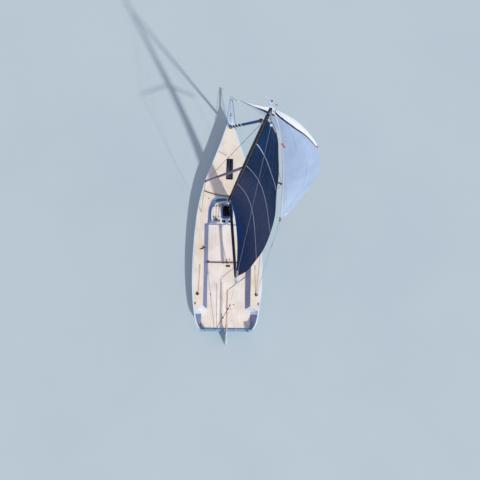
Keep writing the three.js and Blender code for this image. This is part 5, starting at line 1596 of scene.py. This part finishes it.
def make_gennaker_lines():
    start = sprit_point(SPRIT["length"] - 0.025) + at(0, 0, SPRIT["radius"] + 0.004)
    way = TACK - start
    knot = both_ends([(0.006, 0.03), (0.013, 0.02), (0.015, 0)])
    dress("tack_line", [
        (tube([start, TACK - way.normalized() * 0.03], 0.006, 10), ROPE_BLACK),
        (ring_loop(TACK, way, (0, 0, 1), 0.026, 0.006), STEEL),
        (turned(knot, TACK.lerp(start, 0.16), way, 14), ROPE_BLACK),
    ])
    foot = block_foot(1) + at(0, 0, TURNING_BLOCK["height"] + 0.0065)
    path = smooth_path([CLEW, (1.7, -0.56, 2.05), (1.53, -1.25, 1.56), (1.33, -2.08, 1.17), foot], 10)
    shapes = [(tube(path, 0.012, 12), ROPE_AQUA),
              (ring_loop(CLEW + at(-0.01, 0.02, 0.02), (-0.2, 0.5, 0.6), (1, 0, 0), 0.038, 0.01), BLACK)]
    way = (path[1] - path[0]).normalized()
    for reach, size, rope in ((0.05, 0.034, ROPE_RED), (0.1, 0.03, ROPE_BLACK), (0.15, 0.024, ROPE_AQUA)):
        shapes.append((turned(both_ends([(0.011, 0.03), (size, 0.014)]), CLEW + way * reach, way, 16), rope))
    for step in (15, 16):
        way = (path[step + 1] - path[step]).normalized()
        shapes.append((turned(both_ends([(0.0121, 0.04), (0.024, 0.028)]), path[step], way, 14), ROPE_PINK))
    dress("gennaker_sheet", shapes)


def make_turning_blocks():
    r, h = TURNING_BLOCK["radius"], TURNING_BLOCK["height"]
    for name, side in SIDES:
        foot = block_foot(side)
        shapes = [(turned([(r * share, z) for share, z in BLOCK_OUTLINE], foot, sides=32), BLACK),
                  (turned([(r * 0.48, h - 0.004), (r * 0.46, h), (r * 0.3, h)], foot, sides=24), TRACK_BROWN),
                  (bolt(foot + at(0, 0, h), (0.009, 0.005), (0.003, 0.004)), STEEL)]
        for place in round_places(foot + at(0, 0, 0.0055), r * 0.9, 3, 0.5):
            shapes.append((turned([(0.006, 0), (0.004, 0.003)], place, sides=10), STEEL))
        dress(name + "_turning_block", shapes)


# Jib track, traveller and winches
JIB_TRACK = {"half": 0.98, "radius": 2.75, "width": 0.034, "height": 0.03}
TRAVELLER = {"y": -1.55, "half": 0.764, "width": 0.04, "height": 0.044, "car": 0.015}
WINCH = {"x": 0.5, "y": 0.04, "radius": 0.062, "height": 0.15}
# Outline of a winch: shares of its radius and of its height
WINCH_OUTLINE = [
    (0.3, 0), (0.97, 0), (1, 0.02), (1, 0.1), (0.97, 0.12), (0.8, 0.14), (0.75, 0.16), (0.70, 0.3),
    (0.68, 0.45), (0.68, 0.6), (0.72, 0.72), (0.82, 0.85), (0.95, 0.88), (0.96, 0.905), (0.86, 0.925),
    (0.95, 0.945), (0.93, 0.985), (0.8, 1.0), (0.3, 1.0),
]


def make_jib_track():
    t = JIB_TRACK
    w, h = t["width"] / 2, t["height"]
    rail = both_sides([(w, 0), (w, 0.006), (w * 0.35, 0.008), (w * 0.35, 0.018), (w * 0.8, 0.021),
                       (w * 0.8, h - 0.002), (w * 0.6, h)])

    def place(x):
        y = FORESTAY_Y - math.sqrt(t["radius"] ** 2 - x * x)
        return at(x, y, deck_z(y + w) + PANEL + SEAT_GAP)
    rows = [[place(x) + at(0, y, z) for y, z in rail] for x in spread(-t["half"], t["half"], 48)]
    shapes = [(solid(rows), TRACK_BROWN)]
    for x in spread(-0.92, 0.92, 16):
        for _, side in SIDES:
            screw = place(x) + at(0, side * w * 0.75, 0.0062)
            shapes.append((turned([(0.0045, 0), (0.003, 0.0025)], screw, sides=8), STEEL))
    sheave = turned(both_ends([(0.016, 0.008), (0.022, 0.007), (0.017, 0)]), (0, 0, h + 0.026), (1, 0, 0), 20)
    for x, half in ((-0.955, 0.012), (0.955, 0.012), (-0.52, 0.05), (0.3, 0.05)):
        turn = math.degrees(math.asin(x / t["radius"]))
        stop = block((-half, -w, 0.014), (half, w, h + 0.008), 0.005)
        shapes.append((moved(stop, place(x), turn), BLACK))
        if half == 0.05:
            shapes.append((moved(sheave, place(x), turn), STEEL))
    dress("jib_track", shapes)


def make_traveller():
    t = TRAVELLER
    w, h = t["width"] / 2, t["height"]
    middle = at(0, t["y"], SOLE_Z + PANEL + SEAT_GAP)
    rail = both_sides([(w, 0), (w, 0.008), (w * 0.3, 0.011), (w * 0.3, 0.03), (w * 0.7, 0.034),
                       (w * 0.7, h - 0.002), (w * 0.5, h)])
    rows = [[middle + at(x, y, z) for y, z in rail] for x in spread(-t["half"], t["half"], 12)]
    shapes = [(solid(rows), TRACK_BROWN)]
    sheave = both_ends([(0.014, 0.02), (0.02, 0.018), (0.016, 0)])
    for _, side in SIDES:
        end = middle + at(side * (t["half"] - 0.03), 0, 0)
        shapes += [(block(end + at(-0.028, -0.03, 0.008), end + at(0.028, 0.03, h + 0.012), 0.006), BLACK),
                   (turned(sheave, end + at(0, 0.045, 0.03), sides=18), STEEL)]
        for shift, rope in ((-0.02, ROPE_RED), (0.02, ROPE_WHITE)):
            line = [middle + at(t["car"] + side * 0.05, shift, 0.04), end + at(-side * 0.02, shift, 0.035)]
            shapes.append((tube(line, 0.0035), rope))
    car = middle + at(t["car"], 0, h)
    shapes += [(block(car - at(0.055, 0.036, h - 0.02), car + at(0.055, 0.036, 0.012), 0.008), BLACK),
               (block(car + at(-0.03, -0.02, 0.01), car + at(0.03, 0.02, 0.026), 0.005), ALLOY)]
    dress("mainsheet_traveller", shapes)
    low = car + at(0, 0, 0.0264)
    a = math.radians(BOOM_ANGLE)
    high = luff_point(BOOM_TOP) + at(2.3 * math.sin(a), -2.3 * math.cos(a), -BOOM_HEIGHT - 0.042)
    swivel = [(0.012, 0), (0.026, 0.006), (0.03, 0.02), (0.03, 0.066), (0.022, 0.08), (0.008, 0.088)]
    cheek = both_ends([(0.008, 0.0025), (0.028, 0.0025), (0.03, 0)])
    upper = both_ends([(0.01, 0.003), (0.032, 0.003), (0.034, 0)])
    sheave = both_ends([(0.012, 0.017), (0.031, 0.016), (0.025, 0.008), (0.031, 0)])
    shapes = [(turned(swivel, low, sides=24), BLACK)]
    for _, side in SIDES:
        shapes += [(turned(cheek, low + at(side * 0.019, 0, 0.056), (1, 0, 0), 24), ALLOY),
                   (turned(upper, high + at(side * 0.021, 0, 0), (1, 0, 0), 28), ALLOY)]
    shapes.append((turned(sheave, high, (1, 0, 0), 28), BLACK))
    for x, y in ((-0.011, -0.018), (0.011, -0.018), (-0.009, 0.02), (0.009, 0.02)):
        shapes.append((tube([low + at(x, y * 0.8, 0.06), high + at(x, y, -0.004)], 0.005), ROPE_RED))
    dress("mainsheet_tackle", shapes)


def rope_turns(middle, radius, rise, turns, thickness):
    """Turns of rope wound round an upright drum, 16 points to a turn."""
    path = []
    for i in range(turns * 16 + 1):
        a = 2 * math.pi * i / 16
        path.append(middle + at(radius * math.cos(a), radius * math.sin(a), rise * i / 16))
    return tube(path, thickness)


def make_winches():
    r, h = WINCH["radius"], WINCH["height"]
    for name, side in SIDES:
        base = at(side * WINCH["x"], WINCH["y"], ROOF_Z + PANEL + SEAT_GAP)
        top = base + at(0, 0, h)
        shapes = [(turned([(r * a, h * b) for a, b in WINCH_OUTLINE], base, sides=40), TRACK_BROWN),
                  (turned([(0.022, -0.001), (0.021, 0.003), (0.012, 0.004)], top, sides=28), STEEL),
                  (turned([(0.0095, 0.001), (0.0095, 0.0045), (0.004, 0.005)], top, sides=8), BLACK)]
        for p in round_places(base, r * 0.685, 18):
            shapes.append((tube([p + at(0, 0, h * 0.2), p + at(0, 0, h * 0.7)], 0.0014, 6), ALLOY))
        shapes += [(rope_turns(base + at(0, 0, h * 0.24), r * 0.68 + 0.011, 0.021, 3, 0.011), ROPE_WHITE),
                   (rope_turns(base + at(0, 0, 0.008), r + 0.016, 0.004, 1, 0.011), ROPE_WHITE),
                   (rope_turns(base + at(0, 0, 0.026), r + 0.010, 0.004, 1, 0.009), ROPE_BLACK)]
        dress(name + "_winch", shapes)


# Small gear on the deck, the coachroof and in the cockpit, and the control lines held taut between it
ROOF_TOP_Z = ROOF_Z + PANEL + 0.003
SOLE_TOP_Z = SOLE_Z + PANEL
# Places of the port side's gear: x and y. The starboard side mirrors them
ORGANISERS = [(-0.58, 0.60), (-0.48, 0.60), (-0.38, 0.60)]
CLUTCHES = [(-0.605, 0.17), (-0.505, 0.185), (-0.405, 0.185)]
DECK_EYES = [(0.79, 0.925), (1.077, -1.69), (1.077, -1.77)]
EDGE_PAD = (1.225, -3.16)
# Cleats: x, y, length, turn
CLEATS = [(1.0, -1.05, 0.2, 70), (0.94, -0.99, 0.14, 115)]
SOLE_EYES = [(0.30, -3.2), (0.18, -3.375), (0.095, -1.41), (-0.021, -1.43)]


def small_eye(place, size, finish=BLACK):
    """A round base with a raised ring, for a rope."""
    profile = [(1, 0), (1, 0.25), (0.6, 0.4), (0.5, 1), (0.2, 1.1)]
    return turned([(size * r, size * h) for r, h in profile], place, sides=18), finish


def cleat(place, length, turn):
    """A horn cleat on its base."""
    shares = ((-0.5, 0.042), (-0.25, 0.034), (0.25, 0.034), (0.5, 0.042))
    horn = tube([(0, length * share, z) for share, z in shares], [0.008, 0.015, 0.015, 0.008], 12)
    base = block((-0.022, -length * 0.24, 0), (0.022, length * 0.24, 0.034), 0.008)
    return [(moved(shape, place, turn), BLACK) for shape in (horn, base)]


def make_roof_gear():
    sheave = [(0.024, 0), (0.024, 0.004), (0.018, 0.007), (0.018, 0.014), (0.024, 0.017), (0.024, 0.021),
              (0.008, 0.024)]
    z = ROOF_TOP_Z
    for name, out in SIDES:
        side = -out
        gear, lines = [], []
        for k, rope in enumerate((ROPE_WHITE, ROPE_BROWN, ROPE_RED)):
            pulley = at(ORGANISERS[k][0] * side, ORGANISERS[k][1], z)
            grip = at(CLUTCHES[k][0] * side, CLUTCHES[k][1], z)
            gear += [(turned(sheave, pulley, sides=20), BLACK),
                     (block(grip - at(0.013, 0.036, 0), grip + at(0.013, 0.036, 0.034), 0.006), BLACK),
                     (block(grip + at(-0.008, -0.032, 0.03), grip + at(0.008, 0.014, 0.041)), ALLOY)]
            line = [at(-0.1 * side, MAST["foot_y"] - 0.06 - 0.02 * k, z + 0.011),
                    pulley + at(-0.012 * side, 0.02, 0.011), pulley + at(-0.021 * side, -0.012, 0.011),
                    grip + at(0, 0.035, 0.016)]
            lines.append((tube(smooth_path(line, 3), 0.005), rope))
        start = at(CLUTCHES[1][0] * side, CLUTCHES[1][1] - 0.035, z + 0.016)
        tail = at((0.05 - WINCH["x"]) * side, WINCH["y"] + 0.03, z + 0.045)
        lines.append((tube([start, tail], 0.005), ROPE_BROWN))
        dress(name + "_clutches_and_organisers", gear, [])
        dress(name + "_halyard_tails", lines, [])


def make_deck_gear():
    for name, side in SIDES:
        gear = [small_eye((side * x, y, deck_z(y) + PANEL), 0.022) for x, y in DECK_EYES]
        x, y = EDGE_PAD
        outline = rounded_outline(0.045, 0.1, 0.015, (side * x, y))
        gear.append((plate(outline, deck_z(y) - 0.002, deck_z(y) + 0.014, 0.003), BLACK))
        for x, y, length, turn in CLEATS:
            gear += cleat((side * x, y, deck_z(-1.02) + PANEL), length, turn * side)
        dress(name + "_deck_gear", gear, [])
        b = TURNING_BLOCK
        start = at(side * (b["x"] - 0.03), b["y"] + 0.045, deck_z(b["y"]) + PANEL + 0.03)
        end = at(side * 1.077, -1.77, deck_z(-1.77) + PANEL + 0.016)
        dress(name + "_furling_line", [(tube([start, end], 0.005), ROPE_BROWN)], [])


def make_cockpit_gear():
    z = SOLE_TOP_Z
    gear = [small_eye((x, y, z), 0.022) for x, y in SOLE_EYES]
    gear.append((block((-0.04, -1.72, z), (0.13, -1.65, z + 0.03), 0.008), BLACK))
    dress("cockpit_sole_gear", gear, [])
    lines = []
    for start, end, rope in ((at(-0.393, -2.40, z), at(-0.357, -4.05, z), ROPE_GREY),
                             (at(-0.176, -2.36, z), at(-0.143, -3.93, z), ROPE_BLACK),
                             (at(0.42, -1.46, z), at(0.42, -0.12, z), ROPE_WHITE)):
        lines.append((tube([start + at(0, 0, 0.012), end + at(0, 0, 0.012)], 0.0045), rope))
        lines += [small_eye(start, 0.014), small_eye(end, 0.014)]
    dress("cockpit_control_lines", lines, [])


def make_bow_lines():
    """A line on the foredeck, and the lines that hold the bowsprit sideways, from its end to the bow."""
    ends = [at(x, y, deck_z(y) + PANEL) for x, y in ((-0.425, 2.79), (-0.17, 2.665))]
    line = [(tube([p + at(0, 0, 0.012) for p in ends], 0.006), ROPE_BLACK)]
    dress("foredeck_line", line + [small_eye(p, 0.016) for p in ends], [])
    end, guys = sprit_point(SPRIT["length"] - 0.08), []
    for side, rope in ((-1, ROPE_BLUE), (1, ROPE_BLACK)):
        foot = at(side * 0.215, 3.7, deck_z(3.7))
        guys += [(tube([end + at(side * SPRIT["radius"], 0, 0), foot + at(0, 0, 0.02)], 0.009, 10), rope),
                 small_eye(foot, 0.018, STEEL)]
    dress("bowsprit_guys", guys, [])


# Keel and rudder
RUDDER_FRONT, PINTLE_Y, PINTLE_HEIGHTS = -4.365, -4.325, (0.426, 0.14)
# The blade's outline. Columns: height, share of the full chord
BLADE = [(-1.35, 0.30), (-1.345, 0.50), (-1.33, 0.58), (-1.29, 0.65), (-1.09, 0.86), (-0.65, 0.95),
         (-0.20, 1.0), (0.70, 1.0)]
TILLER = {"aft": -4.26, "straight": -3.7, "front": -2.62, "z": 1.003, "rise": 0.036, "thick": 0.027,
          "thin": 0.017, "flat": 0.85}


def foil_ring(front, chord, thickness, z, steps=16):
    """One level of a foil, from its front edge round the starboard side and back up the port side."""
    side = []
    for i in range(steps + 1):
        t = (1 - math.cos(math.pi * i / steps)) / 2
        half = 5 * thickness * (0.2969 * math.sqrt(t) - 0.126 * t - 0.3516 * t ** 2 + 0.2843 * t ** 3
                                - 0.1015 * t ** 4) + 0.0015
        side.append(at(half, front - t * chord, z))
    return side + [at(-p.x, p.y, z) for p in reversed(side)]


def make_keel():
    bottom, top = -1.79, 0.05 - through(STATIONS, 0.48, 2)
    rows = []
    for s in spread(0, 1, 14):
        rows.append(foil_ring(0.70 + 0.09 * s, 0.48 + 0.14 * s, 0.072, bottom + (top - bottom) * s))
    dress("keel_fin", [(solid(rows), KEEL_PAINT)])
    radius, length = 0.15, 1.65
    profile = []
    for t in spread(0.0005, 0.9995, 48):
        profile.append((radius * max(0.0, math.sin(math.pi * t ** 0.8)) ** 0.7, length * t))
    dress("keel_bulb", [(turned(profile, (0, 1.245, -1.85), (0, -1, 0), 40), LEAD)])


def make_rudder():
    rows = []
    for z in [row[0] for row in BLADE[:5]] + spread(-1.09, 0.7, 24)[1:]:
        share = straight(BLADE, z)
        rows.append(foil_ring(RUDDER_FRONT, 0.44 * share, 0.044 * share, z))
    dress("rudder_blade", [(solid(rows), RUDDER_PAINT)], body="rudder")
    shapes = [(block((-0.034, -4.695, 0.7003), (0.034, -4.285, 0.958), 0.014, 3), RUDDER_PAINT),
              (block((-0.0352, -4.33, 0.88), (-0.02, -3.96, 0.9802)), BLACK),
              (block((-0.034, -4.345, 0.9), (0.034, -3.94, 0.979), 0.012, 3), WHITE_PAINT)]
    for _, side in SIDES:
        shapes.append((box((side * 0.03385, -4.49, 0.825), (0.00135, 0.17, 0.105), 0.001), BLACK))
        for y, z in ((-4.63, 0.75), (-4.63, 0.9), (-4.36, 0.75), (-4.36, 0.9)):
            shapes.append((bolt((side * 0.035, y, z), (0.01, 0.006), (0.004, 0.006), (side, 0, 0)), STEEL))
    shapes.append((bolt((0, -4.03, 0.979), (0.014, 0.008), (0.006, 0.008), sides=16), STEEL))
    dress("rudder_head", shapes, body="rudder")
    for name, z in zip(("upper", "lower"), PINTLE_HEIGHTS):
        pin = both_ends([(0.006, 0.033), (0.009, 0.029)])
        dress(name + "_pintle", [
            (turned(pin, (0, PINTLE_Y, z), sides=20), STEEL),
            (block((-0.014, -4.3866, z - 0.008), (0.014, PINTLE_Y, z + 0.008), 0.003), STEEL),
        ], body="rudder")
        eye = [(0.0105, 0.0083), (0.022, 0.0083), (0.022, 0.022), (0.0105, 0.022), (0.0105, 0.0083)]
        rows = [oval(at(0, PINTLE_Y, z + h), at(r, 0, 0), at(0, r, 0), 28) for r, h in eye]
        front, back = STERN_Y - 0.0003, STERN_Y - 0.012
        shapes = [(block((-0.06, back, z - 0.024), (0.06, front, z + 0.024), 0.003), STEEL),
                  (skin(rows, around=True), STEEL)]
        for _, side in SIDES:
            arm = [(0.0115, PINTLE_Y + 0.006), (0.02, PINTLE_Y), (0.02, STERN_Y - 0.006),
                   (0.0005, STERN_Y - 0.006), (0.0005, PINTLE_Y + 0.02)]
            outline = [(side * x, y) for x, y in arm]
            place = (side * 0.044, back, z)
            shapes += [(plate(outline, z + 0.0084, z + 0.0219), STEEL),
                       (bolt(place, (0.008, 0.005), (0.003, 0.005), (0, -1, 0)), STEEL)]
        dress(name + "_gudgeon", shapes)


def make_tiller():
    t = TILLER
    marks = {t["aft"] + 0.004, t["front"] - 0.006, t["front"] - 0.0015}
    marks = sorted(marks | set(spread(t["aft"], t["straight"], 6) + spread(t["straight"], t["front"], 16)))
    rows = []
    for y in marks:
        s = max(0, (y - t["straight"]) / (t["front"] - t["straight"]))
        half = t["thick"] + (t["thin"] - t["thick"]) * s
        if y in (t["aft"], t["front"]):
            half *= 0.82
        rows.append(oval(at(0, y, t["z"] + t["rise"] * s), at(half, 0, 0), at(0, 0, half * t["flat"]), 20))
    shapes = [(solid(rows, lambda i, j: (j / 20, marks[i])), VARNISHED_WOOD)]
    for y in (-4.2, -4.03):
        place = (0, y, t["z"] + t["thick"] * t["flat"])
        shapes.append((turned([(0.01, -0.002), (0.01, 0.003), (0.006, 0.004)], place, sides=16), STEEL))
    dress("tiller", shapes, body="rudder")
    top = t["z"] + t["rise"] + t["thin"] * t["flat"]
    foot, tip = at(0, t["front"] - 0.03, top + 0.018), at(0.72, -2.09, 1.115)
    joint = [(0.007, 0.0003), (0.007, 0.018), (0.011, 0.02), (0.011, 0.024), (0.006, 0.026)]
    grip = [foot.lerp(tip, s) for s in (0.7, 0.72, 0.97, 0.99, 1.0)]
    dress("tiller_extension", [
        (tube([foot, foot.lerp(tip, 0.12)], [0.007, 0.0095], 12), BLACK),
        (tube([foot.lerp(tip, 0.1), foot.lerp(tip, 0.72)], 0.011, 18), CARBON),
        (tube(grip, [0.011, 0.013, 0.013, 0.012, 0.006], 18), BLACK),
        (turned(joint, (0, foot.y, top), sides=16), STEEL),
    ], body="rudder")


make_bow()
make_furled_jib()
make_gennaker_lines()
make_turning_blocks()
make_jib_track()
make_traveller()
make_winches()
make_roof_gear()
make_deck_gear()
make_cockpit_gear()
make_bow_lines()
make_keel()
make_rudder()
make_tiller()

# Floor at the waterline, the sun and the sky's fill
FLOOR_HALF = 60
TO_SUN = at(0.28, -0.549, 0.788)
SUN = {"strength": 2.15, "width": 1.5, "colour": (1.0, 0.985, 0.94)}
SKY = {"strength": 0.56, "colour": (0.78, 0.80, 1.0, 1)}


def make_stage():
    steps = spread(-FLOOR_HALF, FLOOR_HALF, 8)
    points, faces, _ = skin([[at(x, y, 0) for x in steps] for y in steps])
    mesh = bpy.data.meshes.new("floor")
    mesh.from_pydata(points, [], faces)
    mesh.materials.append(FLOOR_PALE)
    add_to_scene("floor", mesh)
    data = bpy.data.lights.new("sun", "SUN")
    data.energy = SUN["strength"]
    data.angle = math.radians(SUN["width"])
    data.color = SUN["colour"]
    add_to_scene("sun", data).rotation_euler = TO_SUN.to_track_quat("Z", "Y").to_euler()
    world = bpy.data.worlds.new("sky")
    world.use_nodes = True
    background = world.node_tree.nodes["Background"]
    background.inputs["Color"].default_value = SKY["colour"]
    background.inputs["Strength"].default_value = SKY["strength"]
    bpy.context.scene.world = world
    bpy.context.scene.view_settings.view_transform = "Standard"


make_stage()
